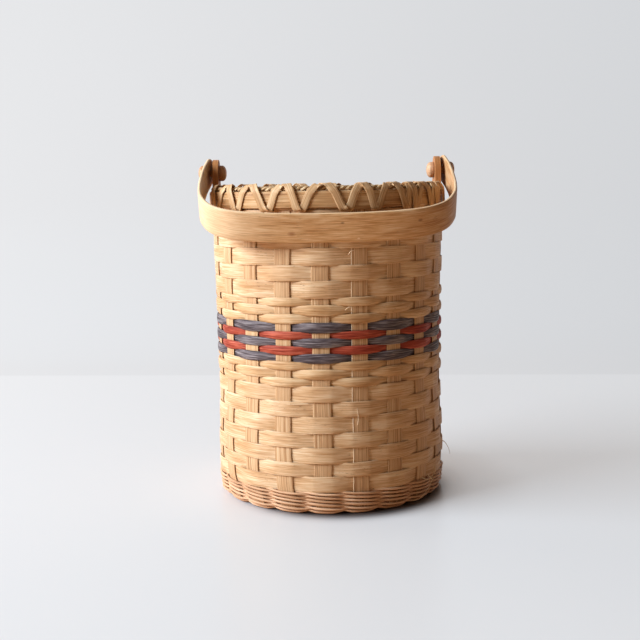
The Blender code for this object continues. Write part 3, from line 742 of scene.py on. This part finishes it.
def make_twining():
    """Two rods through the base, and two that go on up the foot of the wall."""
    for part, node_part, rounds, shifts in (
        ("base", "base", range(TWINE_BASE_ROUNDS), (0.0, 1.3)),
        ("foot", "wall", range(TWINE_BASE_ROUNDS, TWINE_ROUNDS), (2.7, 3.9)),
    ):
        for phase, (rod_name, course) in enumerate((("first", "outer"), ("second", "inner"))):
            make_twining_rod(f"twining_{part}_{rod_name}_rod", rounds, phase,
                             [f"twining_{course}_{node_part}"], shifts[phase])


# Rim hoops

HOOP_SECTION = section(
    [(-0.500, 0.05), (-0.480, 0.34), (-0.420, 0.46), (-0.200, 0.50), (0.000, 0.50)],
    [(-0.490, -0.30), (-0.430, -0.46), (0.000, -0.50)])
HOOP_THICKNESS = 2.8 * MM
HOOP_EAR_GAP = 0.3 * MM
HOOP_SHARES = 10  # a hoop is spun in so many equal shares
HOOP_SHARE_STEPS = 36
HOOP_GRAIN = 0.3


def inner_hoop_radius(turn, radius):
    """The inner hoop runs nearly flat behind the two ears."""
    sideways = abs(math.sin(turn))
    flat = EAR_INNER_X - HOOP_EAR_GAP - HOOP_THICKNESS / 2
    return min(radius, flat / sideways) if sideways > 0.5 else radius


def make_hoop(name, replaced, inside, outside, flip):
    """One flat hoop. flip is 1 where its rounder face looks out and -1 where it looks in."""
    height = WALL_HEIGHT - HOOP_BOTTOM
    reach = (inside + outside) / 2
    bm = bmesh.new()
    ring = [bm.verts.new(at(math.pi, reach + flip * depth * (outside - inside), across * height))
            for across, depth in HOOP_SECTION]
    edges = [bm.edges.new((ring[i - 1], ring[i])) for i in range(len(ring))]
    share = TAU / HOOP_SHARES
    bmesh.ops.spin(bm, geom=ring + edges, cent=(0, 0, 0), axis=(0, 0, 1), angle=share,
                   steps=HOOP_SHARE_STEPS, use_merge=False, use_duplicate=False)
    bmesh.ops.spin(bm, geom=bm.verts[:] + bm.edges[:] + bm.faces[:], cent=(0, 0, 0), axis=(0, 0, 1),
                   angle=TAU * (HOOP_SHARES - 1) / HOOP_SHARES, steps=HOOP_SHARES - 1,
                   use_merge=False, use_duplicate=True)
    bmesh.ops.remove_doubles(bm, verts=bm.verts, dist=WELD)
    levels = {}
    for vert in bm.verts:
        levels[vert] = vert.co.z
        turn = ring_turn(vert.co)
        radius = reach if flip > 0 else inner_hoop_radius(turn, reach)
        vert.co = at(turn, radius + math.hypot(vert.co.x, vert.co.y) - reach,
                     (WALL_HEIGHT + HOOP_BOTTOM) / 2 + vert.co.z)

    def grain(corner, face):
        turn = ring_turn(corner.vert.co)
        centre = ring_turn(face.calc_center_median())
        # A corner on the seam takes the side that its face is on
        if turn - centre > math.pi:
            turn -= TAU
        elif centre - turn > math.pi:
            turn += TAU
        return (turn * reach, levels[corner.vert] + HOOP_GRAIN * flip)

    map_grain(bm, grain)
    new_piece(name, bm, RIM_REED, "rim_splint", [replaced])


# Rope on the rim

EAR_HALF_WIDTH = 13.0 * MM
ROPE_RADIUS = 109.6 * MM
ROPE_LEVEL = 294.0 * MM
PLY_RADIUS = 1.25 * MM
PLY_OFFSET = 1.0 * MM
PLY_UNEVEN = 0.06
PLY_GRAIN = 0.4
ROPE_LAY = 11.0 * MM  # one whole twist
ROPE_STATIONS = 16  # in one whole twist
# The rope stops 0.6 mm short of each ear, measured near its inner side
ROPE_END = math.asin((EAR_HALF_WIDTH + 0.6 * MM) / (ROPE_RADIUS - 2.3 * MM))
HALVES = (("front", 0.0), ("back", math.pi))


def make_ropes():
    """Two half rings of rope, each of two plies twisted round each other."""
    reach = QUARTER - ROPE_END
    length = 2 * reach * ROPE_RADIUS
    count = int(length / ROPE_LAY * ROPE_STATIONS)
    for side, middle in HALVES:
        for ply, phase in (("first", 0.0), ("second", math.pi)):
            points = []
            radii = []
            for step in range(count + 1):
                turn = mix(middle - reach, middle + reach, step / count)
                twist = TAU * step / count * length / ROPE_LAY + phase
                points.append(at(turn, ROPE_RADIUS + PLY_OFFSET * math.cos(twist),
                                 ROPE_LEVEL + PLY_OFFSET * math.sin(twist)))
                radii.append(PLY_RADIUS * (1 + PLY_UNEVEN * wander(step / 5, phase)))
            replaced = [f"rim_filler_{side}"] if ply == "first" else ()
            rod(f"seagrass_{side}_{ply}_ply", points, radii, 6, SEAGRASS, "seagrass_rope", replaced,
                PLY_GRAIN * phase)


# Lashing

LASH_TOP = 295.8 * MM  # over the rope
LASH_CORNERS = (
    (OUTER_HOOP[1], HOOP_BOTTOM), (OUTER_HOOP[1], WALL_HEIGHT), (111.0 * MM, LASH_TOP),
    (108.2 * MM, LASH_TOP), (INNER_HOOP[0], WALL_HEIGHT), (INNER_HOOP[0], HOOP_BOTTOM),
)
LASH_WIDTH = 7.0 * MM
LASH_WIDTH_UNEVEN = 0.14
LASH_SKEW = math.radians(3.0)
LASH_THICKNESS = 0.9 * MM
LASH_GAP = 0.3 * MM
LASH_LAYER = 1.15 * MM  # from the under strap to the over strap
LASH_GRAIN = (0.2, 0.31)
LASH_PIECE = 1.6 * MM  # the usual step along a loop
LASH_CORNER_TURN = math.radians(14)
LASH_SOFTEN = 3  # times that the loop's corners are averaged
LASH_CORNER_LIFT = 0.25 * MM
LASH_EAR_TURN = math.radians(17.5)  # the lashing stays this far clear of an ear's middle
LASH_EASE = 0.25  # how softly a strap leaves one hole for the next
# Where the front lashing goes through the wall, in degrees: always between two uprights, not evenly
LASH_FRONT_HOLES = (-63.5, -46.0, -28.0, -12.7, 7.9, 21.8, 38.3, 44.0, 56.3, 62.0)
LASH_SECTION = section(
    [(-0.500, 0.00), (-0.475, 0.26), (-0.390, 0.48), (-0.220, 0.66), (0.000, 0.72)],
    [(-0.475, -0.30), (-0.400, -0.46), (0.000, -0.50)])


def lash_loop(lift):
    """One loop round the rim's section, this far off it: (radius and height, outward direction)."""
    corners = [Vector(corner) for corner in LASH_CORNERS]
    points = []
    for before, corner, after in zip(corners[-1:] + corners, corners, corners[1:] + corners[:1]):
        come = (corner - before).normalized()
        go = (after - corner).normalized()
        start = math.atan2(-come.x, come.y)
        swing = abs(come.angle_signed(go))
        turns = max(2, int(swing / LASH_CORNER_TURN))
        for step in range(turns + 1):
            angle = start + swing * step / turns
            normal = Vector((math.cos(angle), math.sin(angle)))
            points.append((corner + normal * lift, normal))
    dense = []
    for (here, normal), (there, next_normal) in zip(points, points[1:] + points[:1]):
        pieces = max(1, round((there - here).length / LASH_PIECE))
        for share in [step / pieces for step in range(pieces)]:
            dense.append((here.lerp(there, share), normal.lerp(next_normal, share).normalized()))
    for _ in range(LASH_SOFTEN):
        spots = zip(dense[-1:] + dense[:-1], dense, dense[1:] + dense[:1])
        dense = [((before[0] + 2 * spot[0] + after[0]) / 4 + spot[1] * LASH_CORNER_LIFT / LASH_SOFTEN,
                  (before[1] + 2 * spot[1] + after[1]).normalized()) for before, spot, after in spots]
    return dense


def make_lashing(name, holes, layer):
    """One strap wound round the rim from hole to hole, in the under layer (0) or over it (1)."""
    loop = lash_loop(LASH_GAP + LASH_THICKNESS / 2 + layer * LASH_LAYER)
    outside = sum(1 for place, normal in loop if normal.x >= 0 and place.x > ROPE_RADIUS)
    path = []
    for wind, (start, stop) in enumerate(zip(holes, holes[1:])):
        skew = LASH_SKEW * wander(wind * 3.3, layer * 9.1)
        width = LASH_WIDTH * (1 + LASH_WIDTH_UNEVEN * wander(wind * 2.3, layer * 5.7))
        for step, (spot, normal) in enumerate(loop):
            # A strap makes half of its way to the next hole outside, and half over the top and inside
            if step <= outside:
                share = 0.5 * step / outside
            else:
                share = 0.5 + 0.5 * (step - outside) / (len(loop) - outside)
            share = mix(share, smooth(share), LASH_EASE)
            turn = mix(start, stop, share) + skew * math.sin(math.pi * share)
            path.append((at(turn, spot.x, spot.y), at(turn, normal.x, normal.y), width, LASH_THICKNESS))
    bm = strip(LASH_SECTION, path, (LASH_GRAIN[0] * layer, LASH_GRAIN[1] * layer))
    new_piece(name + "_strap", bm, LASH_REED, "rim_splint", [name])


def make_lashings():
    """Each half of the rim is lashed one way and then back the other, so that the straps meet in Vs."""
    spaces = [FIRST_ARM + ARM_TURN * (step + 0.5) for step in range(-ARM_COUNT, ARM_COUNT)]
    for side, middle in HALVES:
        first = middle - QUARTER + LASH_EAR_TURN
        last = middle + QUARTER - LASH_EAR_TURN
        between = [math.radians(turn) for turn in LASH_FRONT_HOLES]
        if side == "back":
            between = [turn for turn in spaces if first + ARM_TURN / 4 < turn < last - ARM_TURN / 4]
        holes = [first] + between + [last]
        make_lashing(f"lashing_{side}_under", holes, 0)
        make_lashing(f"lashing_{side}_over", holes[::-1], 1)


# Ears, pegs and handle

EAR_TAIL_HALF_WIDTH = 7.0 * MM
EAR_TAIL_LENGTH = 56.0 * MM  # down between the wall and the inner hoop
EAR_TAIL_THICKNESS = 1.6 * MM
EAR_SHOULDER = WALL_HEIGHT + 0.3 * MM
EAR_ROUNDING = 0.5 * MM
EAR_STEPS = 28
EAR_GRAIN = 0.05
SHARP_EDGE = math.radians(40)
PEG_RADIUS = 3.2 * MM
PEG_CHAMFER = 0.4 * MM
PEG_HEAD_X = 117.126 * MM
PEG_END = 5.0 * MM  # how far a peg goes into its inner button
HOLE_ROOM = 0.3 * MM
HOLE_RADIUS = PEG_RADIUS + HOLE_ROOM
HOLE_MARGIN = 6 * MM  # the cutter is this much longer than what it bores
BUTTON_RADIUS = 7.5 * MM
BUTTON_BASE_X = 103.6 * MM
BUTTON_ROUNDING = 0.7 * MM
BUTTON_SIDE = 2.8 * MM
BUTTON_DOME = 4.0 * MM
BUTTON_FULLNESS = 0.9  # under 1, a dome a little fuller than round
BUTTON_STEPS = 14
HANDLE_TILT = math.radians(22.6)
HANDLE_THICKNESS = 3.3 * MM
HANDLE_PEG_X = 113.97 * MM
HANDLE_HOLE = (111 * MM, 118 * MM)  # the bore runs from one to the other, past both faces
HANDLE_FLARE = math.radians(9.0)
HANDLE_END_STEPS = 15
HANDLE_SPREAD = 117.0 * MM
HANDLE_REACH = 129.01 * MM
# Half of the band's U, sideways and forward, as shares of its spread and reach
HANDLE_SHARES = (
    (0.988, 0.095), (0.997, 0.210), (1.000, 0.360), (0.994, 0.520), (0.968, 0.670),
    (0.888, 0.820), (0.745, 0.918), (0.545, 0.968), (0.285, 0.993), (0.000, 1.000),
)
BAND_SECTION = section(
    [(-0.500, 0.00), (-0.495, 0.22), (-0.478, 0.40), (-0.450, 0.48), (-0.250, 0.50), (0.000, 0.50)],
    [(-0.495, -0.22), (-0.478, -0.40), (-0.450, -0.48), (-0.250, -0.50), (0.000, -0.50)])


def cut_hole(obj, start_x, end_x):
    """Bores a peg's hole along X through a piece."""
    bm = bmesh.new()
    middle = Matrix.Translation(((start_x + end_x) / 2, 0.0, PIVOT_HEIGHT))
    bmesh.ops.create_cone(bm, cap_ends=True, segments=40, radius1=HOLE_RADIUS, radius2=HOLE_RADIUS,
                          depth=abs(end_x - start_x) + HOLE_MARGIN,
                          matrix=middle @ Matrix.Rotation(QUARTER, 4, "Y"))
    cutter = new_object("hole", bm)
    cut = obj.modifiers.new("hole", "BOOLEAN")
    cut.operation = "DIFFERENCE"
    cut.solver = "EXACT"
    cut.object = cutter
    bpy.context.view_layer.update()
    bored = shown_mesh(obj)
    obj.modifiers.clear()
    obj.data = bored
    bpy.data.objects.remove(cutter)


def handle_line():
    """Middle line of the band in its own plane, sideways and forward of the pivot."""
    half = [(HANDLE_PEG_X, 0.0)]
    half += [(HANDLE_SPREAD * across, HANDLE_REACH * forward) for across, forward in HANDLE_SHARES]
    other = [(-across, forward) for across, forward in reversed(half[:-1])]
    return smooth_line([Vector(place) for place in half + other], 8)


def make_handle():
    """A flat band bent to a U, with round ends behind the pegs and a hole for each peg."""
    forward = Vector((0.0, -math.cos(HANDLE_TILT), -math.sin(HANDLE_TILT)))
    across_band = Vector((0.0, -math.sin(HANDLE_TILT), math.cos(HANDLE_TILT)))
    line = []
    for bend in bends(HANDLE_END_STEPS)[1:-1]:
        back = HANDLE_WIDTH / 2 * math.cos(bend)
        line.append((HANDLE_PEG_X - back * math.tan(HANDLE_FLARE), -back, HANDLE_WIDTH * math.sin(bend)))
    other_end = [(-x, y, width) for x, y, width in reversed(line)]
    line += [(*place, HANDLE_WIDTH) for place in handle_line()] + other_end
    places = [PIVOT + Vector((x, 0, 0)) + forward * y for x, y, width in line]
    path = [(place, run.cross(across_band), width, HANDLE_THICKNESS)
            for place, run, (x, y, width) in zip(places, runs(places), line)]
    bm = strip(BAND_SECTION, path, (-lengths_along(places)[-1] / 2, 0.0))
    obj = new_piece("bent_handle", bm, BENT_ASH, "handle_wood", ["handle"], "handle")
    for side in (-1, 1):
        cut_hole(obj, side * HANDLE_HOLE[0], side * HANDLE_HOLE[1])


def make_ear(side_name, side):
    """A thin tail that goes down inside the wall, and a thicker round head that holds the peg."""
    bm = bmesh.new()
    inner_x = side * EAR_INNER_X
    corners = [(y, WALL_HEIGHT - EAR_TAIL_LENGTH) for y in (-EAR_TAIL_HALF_WIDTH, EAR_TAIL_HALF_WIDTH)]
    corners += [(y, EAR_SHOULDER) for y in (EAR_HALF_WIDTH, -EAR_HALF_WIDTH)]
    corners += [(EAR_HALF_WIDTH * math.cos(2 * bend), PIVOT_HEIGHT + EAR_HALF_WIDTH * math.sin(2 * bend))
                for bend in bends(EAR_STEPS)]
    verts = [bm.verts.new((inner_x, y, z)) for y, z in corners]
    faces = [bm.faces.new(verts[:4]), bm.faces.new([verts[3], verts[2]] + verts[4:])]
    for thickness in (EAR_TAIL_THICKNESS, EAR_OUTER_X - EAR_INNER_X - EAR_TAIL_THICKNESS):
        grown = grow(bm, bmesh.ops.extrude_face_region(bm, geom=faces), (side * thickness, 0.0, 0.0))
        if len(faces) == 1:
            bmesh.ops.delete(bm, geom=faces, context="FACES_ONLY")
        faces = [max(grown, key=lambda face: face.calc_center_median().z)]
    bmesh.ops.dissolve_limit(bm, angle_limit=math.radians(1), verts=bm.verts, edges=bm.edges)
    bmesh.ops.recalc_face_normals(bm, faces=bm.faces)
    sharp = [edge for edge in bm.edges
             if len(edge.link_faces) == 2 and edge.calc_face_angle(0.0) > SHARP_EDGE]
    bmesh.ops.bevel(bm, geom=sharp, offset=EAR_ROUNDING, offset_type="OFFSET", segments=3, profile=0.5,
                    affect="EDGES", material=-1, clamp_overlap=True)

    def grain(corner, face):
        place = corner.vert.co
        across = place.y if abs(face.normal.x) >= abs(face.normal.y) else place.x
        return (place.z, across + EAR_GRAIN * side)

    map_grain(bm, grain)
    name = f"ear_{side_name}"
    obj = new_piece(name + "_wood", bm, EAR_WOOD, "handle_wood", [name], shade=False)
    cut_hole(obj, inner_x, side * EAR_OUTER_X)


def turned(name, outline):
    """Turns an outline of (x, radius) round the peg line."""
    bm = bmesh.new()
    corners = [bm.verts.new((x, 0.0, PIVOT_HEIGHT + radius)) for x, radius in outline]
    edges = [bm.edges.new(pair) for pair in zip(corners, corners[1:])]
    bmesh.ops.spin(bm, geom=corners + edges, cent=PIVOT, axis=(1, 0, 0), angle=TAU, steps=64,
                   use_merge=True, use_duplicate=False)
    bmesh.ops.remove_doubles(bm, verts=bm.verts, dist=2 * WELD)

    def grain(corner, face):
        place = corner.vert.co - PIVOT
        return (place.z, place.y + place.x * 0.7)

    map_grain(bm, grain)
    new_piece(name + "_wood", bm, TURNED_BIRCH, "handle_wood", [name])


def button_outline(base_x, direction):
    """A domed button: rounded foot edge, straight side, dome to the pole."""
    points = [(base_x, BUTTON_RADIUS - BUTTON_ROUNDING)]
    points += [(base_x + direction * BUTTON_ROUNDING * (1 - math.cos(bend)),
                BUTTON_RADIUS - BUTTON_ROUNDING * (1 - math.sin(bend))) for bend in bends(4)[1:]]
    points += [(base_x + direction * (BUTTON_SIDE + BUTTON_DOME * math.sin(bend)),
                BUTTON_RADIUS * math.cos(bend) ** BUTTON_FULLNESS) for bend in bends(BUTTON_STEPS)[:-1]]
    return points + [(base_x + direction * (BUTTON_SIDE + BUTTON_DOME), 0.0)]


def make_peg(side_name, side):
    """A peg with its head outside the handle, and the button on its end inside the ear."""
    head_x = side * PEG_HEAD_X
    base_x = side * BUTTON_BASE_X
    end_x = base_x - side * PEG_END
    outline = [(end_x, 0.0), (end_x, PEG_RADIUS - PEG_CHAMFER), (end_x + side * PEG_CHAMFER, PEG_RADIUS),
               (head_x, PEG_RADIUS)]
    turned(f"peg_{side_name}", outline + button_outline(head_x, side))
    bottom_x = end_x - side * HOLE_ROOM
    outline = [(bottom_x, 0.0), (bottom_x, HOLE_RADIUS), (base_x, HOLE_RADIUS)]
    turned(f"peg_button_{side_name}", outline + button_outline(base_x, -side))


# Loose fibres

FIBRE_RADIUS = 0.42 * MM
FIBRE_TAPER = 0.6
SPLINTER_RADIUS = 0.28 * MM
SPLINTER_ARM = 1
# Each fibre runs through places of (degrees from the front, height in mm, mm off the wall)
FIBRES = (
    ((44, 3, 1.5), (47, 5, 5), (51, 10, 6.5), (56, 17, 5.6), (58, 20, 3)),
    ((50, 23, 1.5), (53, 20, 4), (56, 20.5, 4.5), (60, 24.5, 3.5), (62, 29, 2.5)),
    ((55, 24, 2), (57, 19, 4.5), (59.5, 17, 4), (63, 19, 3)),
    ((61, 31, 2.5), (60, 26, 5), (57, 22.5, 5.5), (54, 22, 3)),
    ((76, 48, 2), (79, 44, 5), (80, 38, 8), (78.5, 33, 10)),
    ((12.3, 83, 1.8), (12.6, 88, 2.6), (12.4, 93, 2.7), (12.2, 98, 1.9)),
    ((7.2, 187, 2), (8, 189, 4), (9.4, 190, 4.4)),
    ((8.8, 236, 2.2), (9.6, 238.5, 4), (11, 239.5, 4.2)),
    ((-24, 252, 2), (-22.5, 254, 3.8), (-20.5, 254.5, 4.2)),
    ((128, 60, 2), (131, 62, 5), (134, 61, 6)),
    ((-104, 112, 2), (-106, 109, 5), (-109, 108.5, 6)),
    ((-158, 30, 1.5), (-155, 27, 5), (-151, 28, 6)),
)


def make_fibres():
    """Hairs of reed that stand off the wall, and one splinter along an upright's edge."""
    for index, corners in enumerate(FIBRES):
        line = [at(math.radians(turn), wall_radius(height * MM) + off * MM, height * MM)
                for turn, height, off in corners]
        points = smooth_line(line, 6)
        radii = [FIBRE_RADIUS * (1 - FIBRE_TAPER * step / (len(points) - 1)) for step in range(len(points))]
        rod(f"loose_fibre_{index + 1:02d}", points, radii, 4, LOOSE_FIBRE, "natural_splint",
            shift=0.03 * index)
    turn = FIRST_ARM + ARM_TURN * SPLINTER_ARM
    aside = out(turn) * SPOKE_THICKNESS / 2 - along(turn) * (SPOKE_WIDTH / 2 - SPLINTER_RADIUS)
    points = [leaned(place + aside) for place, width in arm_path(SPLINTER_ARM, HUB_LEVEL)
              if place.z > ROD_TOP]
    rod("upright_edge_splinter", points, [SPLINTER_RADIUS] * len(points), 4, LOOSE_FIBRE, "natural_splint")


for spoke_index in range(ARM_COUNT // 2):
    make_spoke(spoke_index)
for row_index, row_name in enumerate(ROW_NAMES):
    make_row(row_index, row_name, *ROW_LOOKS[row_name.split("_")[0]])
make_twining()
make_hoop("outer_rim_splint", "outer_hoop", *OUTER_HOOP, 1)
make_hoop("inner_rim_splint", "inner_hoop", *INNER_HOOP, -1)
make_ropes()
make_lashings()
for end_name, end_side in (("left", -1), ("right", 1)):
    make_ear(end_name, end_side)
    make_peg(end_name, end_side)
make_handle()
make_fibres()


# Floor, backdrop, light and camera

STAGE_FAR = 1.4
STAGE_JOIN = 0.603  # before this line the board is a shade brighter
STAGE_JOIN_SOFT = 0.006
STAGE_JOIN_LIGHT = 1.08
STAGE_JOIN_WAY = (0.085, 1.0, 0.0)  # the line is askew, so that it lies level in the picture
# Share of even paper at a distance from the basket's middle: none under the foot, all at the backdrop
STAGE_EVEN = ((0.108, 0.0), (0.120, 0.20), (0.140, 0.36), (0.20, 0.54), (0.60, 0.70), (1.40, 1.0))
# Painted soft shadow on the floor before the foot: share of the floor's colour left at a distance from this
# place
FOOT_PAINTED_SHADOW_MIDDLE = (0.010, -0.022, 0.0)
FOOT_PAINTED_SHADOW = ((0.087, 0.08), (0.093, 0.30), (0.099, 0.66), (0.105, 0.90), (0.112, 1.0))
STAGE_FLOOR = 0.70  # the floor ends this far behind the basket and curves up
STAGE_BEND = 0.28
STAGE_FRONT = -6.0
STAGE_TOP = 4.0
STAGE_HALF_WIDTH = 8.0
PAINTED_FALLOFF_REACH = 0.6  # the paper's painted light falls off from left to right within this far
WINDOW_TURN = math.radians(74.0)  # from the front towards the left
WINDOW_RISE = math.radians(27.0)
WINDOW_FAR = 3.0
WINDOW_AIM = Vector((0.0, 0.0, 0.15))
WINDOW_SIZE = (2.2, 1.4)
WINDOW_WATTS = 192.0
FILL_LEVEL = 0.078
CAMERA_PLACE = (-0.0088, -1.0377, 0.2976)
CAMERA_TILT = math.radians(90 - 7.31)
CAMERA_ROLL = math.radians(-1.0)
CAMERA_LENS = 59.625


def shown_share(tree):
    """1 for what the camera, gloss or glass sees of a surface, and 0 for the light that it throws back."""
    ray = node(tree, "LightPath")
    mirrored = node(tree, "Math", [(0, ray, "Is Glossy Ray"), (1, ray, "Is Transmission Ray")],
                    operation="MAXIMUM")
    return node(tree, "Math", [(0, ray, "Is Camera Ray"), (1, mirrored, "Value")], operation="MAXIMUM")


def stage_finish(name, colour, bounce_colour, lit_left_colour, dim_right_colour, roughness):
    """Smooth white board. Further from the basket the camera sees it more and more as lit paper.

    The light that it throws back on the basket is warmer and dimmer, as from a room with wood in it.
    """
    material, tree, shader = new_material(name)
    shader.inputs["Roughness"].default_value = roughness
    place = node(tree, "TexCoord")
    seen = shown_share(tree)

    def rings(middle, stops):
        """A value that changes with the distance from a place."""
        off = node(tree, "VectorMath", [("Vector", place, "Object")], operation="DISTANCE",
                   inputs={1: middle})
        share = node(tree, "Math", [(0, off, "Value")], operation="DIVIDE", inputs={1: STAGE_FAR})
        return node(tree, "ValToRGB", [("Fac", share, "Value")],
                    stops=[(distance / STAGE_FAR, value) for distance, value in stops])

    even = rings((0.0, 0.0, 0.0), STAGE_EVEN)
    # Painted soft shadow before the foot, multiplied into what is seen of the board
    shade = rings(FOOT_PAINTED_SHADOW_MIDDLE, FOOT_PAINTED_SHADOW)
    board_with_painted_shadow = node(tree, "MixRGB", [("Color2", shade, "Color")], blend_type="MULTIPLY",
                  inputs={"Fac": 1.0, "Color1": linear(colour)})
    board = node(tree, "MixRGB", [("Fac", seen, "Value"), ("Color2", board_with_painted_shadow, "Color")],
                 inputs={"Color1": linear(bounce_colour)})
    tree.links.new(board.outputs["Color"], shader.inputs["Base Color"])
    # Painted light falloff: the paper is brighter on the left, towards the window, and darker on the right
    sides = node(tree, "SeparateXYZ", [("Vector", place, "Object")])
    rightward = node(tree, "MapRange", [("Value", sides, "X")],
                     inputs={"From Min": -PAINTED_FALLOFF_REACH, "From Max": PAINTED_FALLOFF_REACH})
    painted_falloff = node(tree, "MixRGB", [("Fac", rightward, "Result")],
                inputs={"Color1": linear(lit_left_colour), "Color2": linear(dim_right_colour)})
    # The paper takes the painted shadow before the foot too
    painted_paper = node(tree, "MixRGB", [("Color1", painted_falloff, "Color"), ("Color2", shade, "Color")],
                  blend_type="MULTIPLY", inputs={"Fac": 1.0})
    behind = node(tree, "VectorMath", [("Vector", place, "Object")], operation="DOT_PRODUCT",
                  inputs={1: STAGE_JOIN_WAY})
    level = node(tree, "MapRange", [("Value", behind, "Value")],
                 inputs={"From Min": STAGE_JOIN - STAGE_JOIN_SOFT, "From Max": STAGE_JOIN + STAGE_JOIN_SOFT,
                         "To Min": STAGE_JOIN_LIGHT, "To Max": 1.0})
    paper = node(tree, "Emission", [("Color", painted_paper, "Color"), ("Strength", level, "Result")])
    share = node(tree, "Math", [(0, even, "Color"), (1, seen, "Value")], operation="MULTIPLY")
    blend = node(tree, "MixShader", [(0, share, "Value"), (1, shader, "BSDF"), (2, paper, "Emission")])
    tree.links.new(blend.outputs["Shader"], tree.nodes["Material Output"].inputs["Surface"])
    return material


def make_sweep():
    """A plain floor that curves up into a backdrop behind the basket."""
    profile = [(STAGE_FRONT, 0.0)]
    profile += [(STAGE_FLOOR + STAGE_BEND * math.sin(bend), STAGE_BEND * (1 - math.cos(bend)))
                for bend in bends(16)]
    profile.append((STAGE_FLOOR + STAGE_BEND, STAGE_TOP))
    bm = bmesh.new()
    corners = [bm.verts.new((-STAGE_HALF_WIDTH, y, z)) for y, z in profile]
    edges = [bm.edges.new(pair) for pair in zip(corners, corners[1:])]
    grow(bm, bmesh.ops.extrude_edge_only(bm, edges=edges), (2 * STAGE_HALF_WIDTH, 0.0, 0.0))
    bmesh.ops.recalc_face_normals(bm, faces=bm.faces)
    for face in bm.faces:
        face.smooth = True
    obj = new_object("paper_sweep", bm)
    # The last two colours paint the paper's light falloff: brighter on the left, towards the window
    board = stage_finish("pale_grey_board", "#DDE2E2", "#CDA37C", "#E6E7E9", "#D6D8DB", 0.28)
    obj.data.materials.append(board)


def make_light():
    """One large window on the left and a weak warm fill, as from a wooden room."""
    data = bpy.data.lights.new("window", "AREA")
    data.shape = "RECTANGLE"
    data.size, data.size_y = WINDOW_SIZE
    data.energy = WINDOW_WATTS
    data.color = linear("#EBF2FF")[:3]
    obj = linked("window", data)
    way = out(-WINDOW_TURN) * math.cos(WINDOW_RISE) + UP * math.sin(WINDOW_RISE)
    obj.location = WINDOW_AIM + way * WINDOW_FAR
    obj.rotation_euler = (-way).to_track_quat("-Z", "Y").to_euler()
    world = bpy.data.worlds.new("studio")
    bpy.context.scene.world = world
    world.use_nodes = True
    tree = world.node_tree
    fill = tree.nodes["Background"]
    fill.inputs["Color"].default_value = linear("#FFC896")
    fill.inputs["Strength"].default_value = FILL_LEVEL
    paper = node(tree, "Background", inputs={"Color": linear("#DDDFE2"), "Strength": 1.0})
    blend = node(tree, "MixShader", [(0, shown_share(tree), "Value"), (1, fill, "Background"),
                                     (2, paper, "Background")])
    tree.links.new(blend.outputs["Shader"], tree.nodes["World Output"].inputs["Surface"])


def make_camera():
    """The camera that was fitted to the basket's outline: a little above it, looking slightly down."""
    data = bpy.data.cameras.new("camera")
    data.sensor_width = 36.0
    data.lens = CAMERA_LENS
    obj = linked("camera", data)
    obj.matrix_world = (Matrix.Translation(CAMERA_PLACE) @ Matrix.Rotation(CAMERA_TILT, 4, "X")
                        @ Matrix.Rotation(CAMERA_ROLL, 4, "Z"))
    bpy.context.scene.camera = obj


make_sweep()
make_light()
make_camera()
bpy.context.scene.view_settings.view_transform = "Standard"
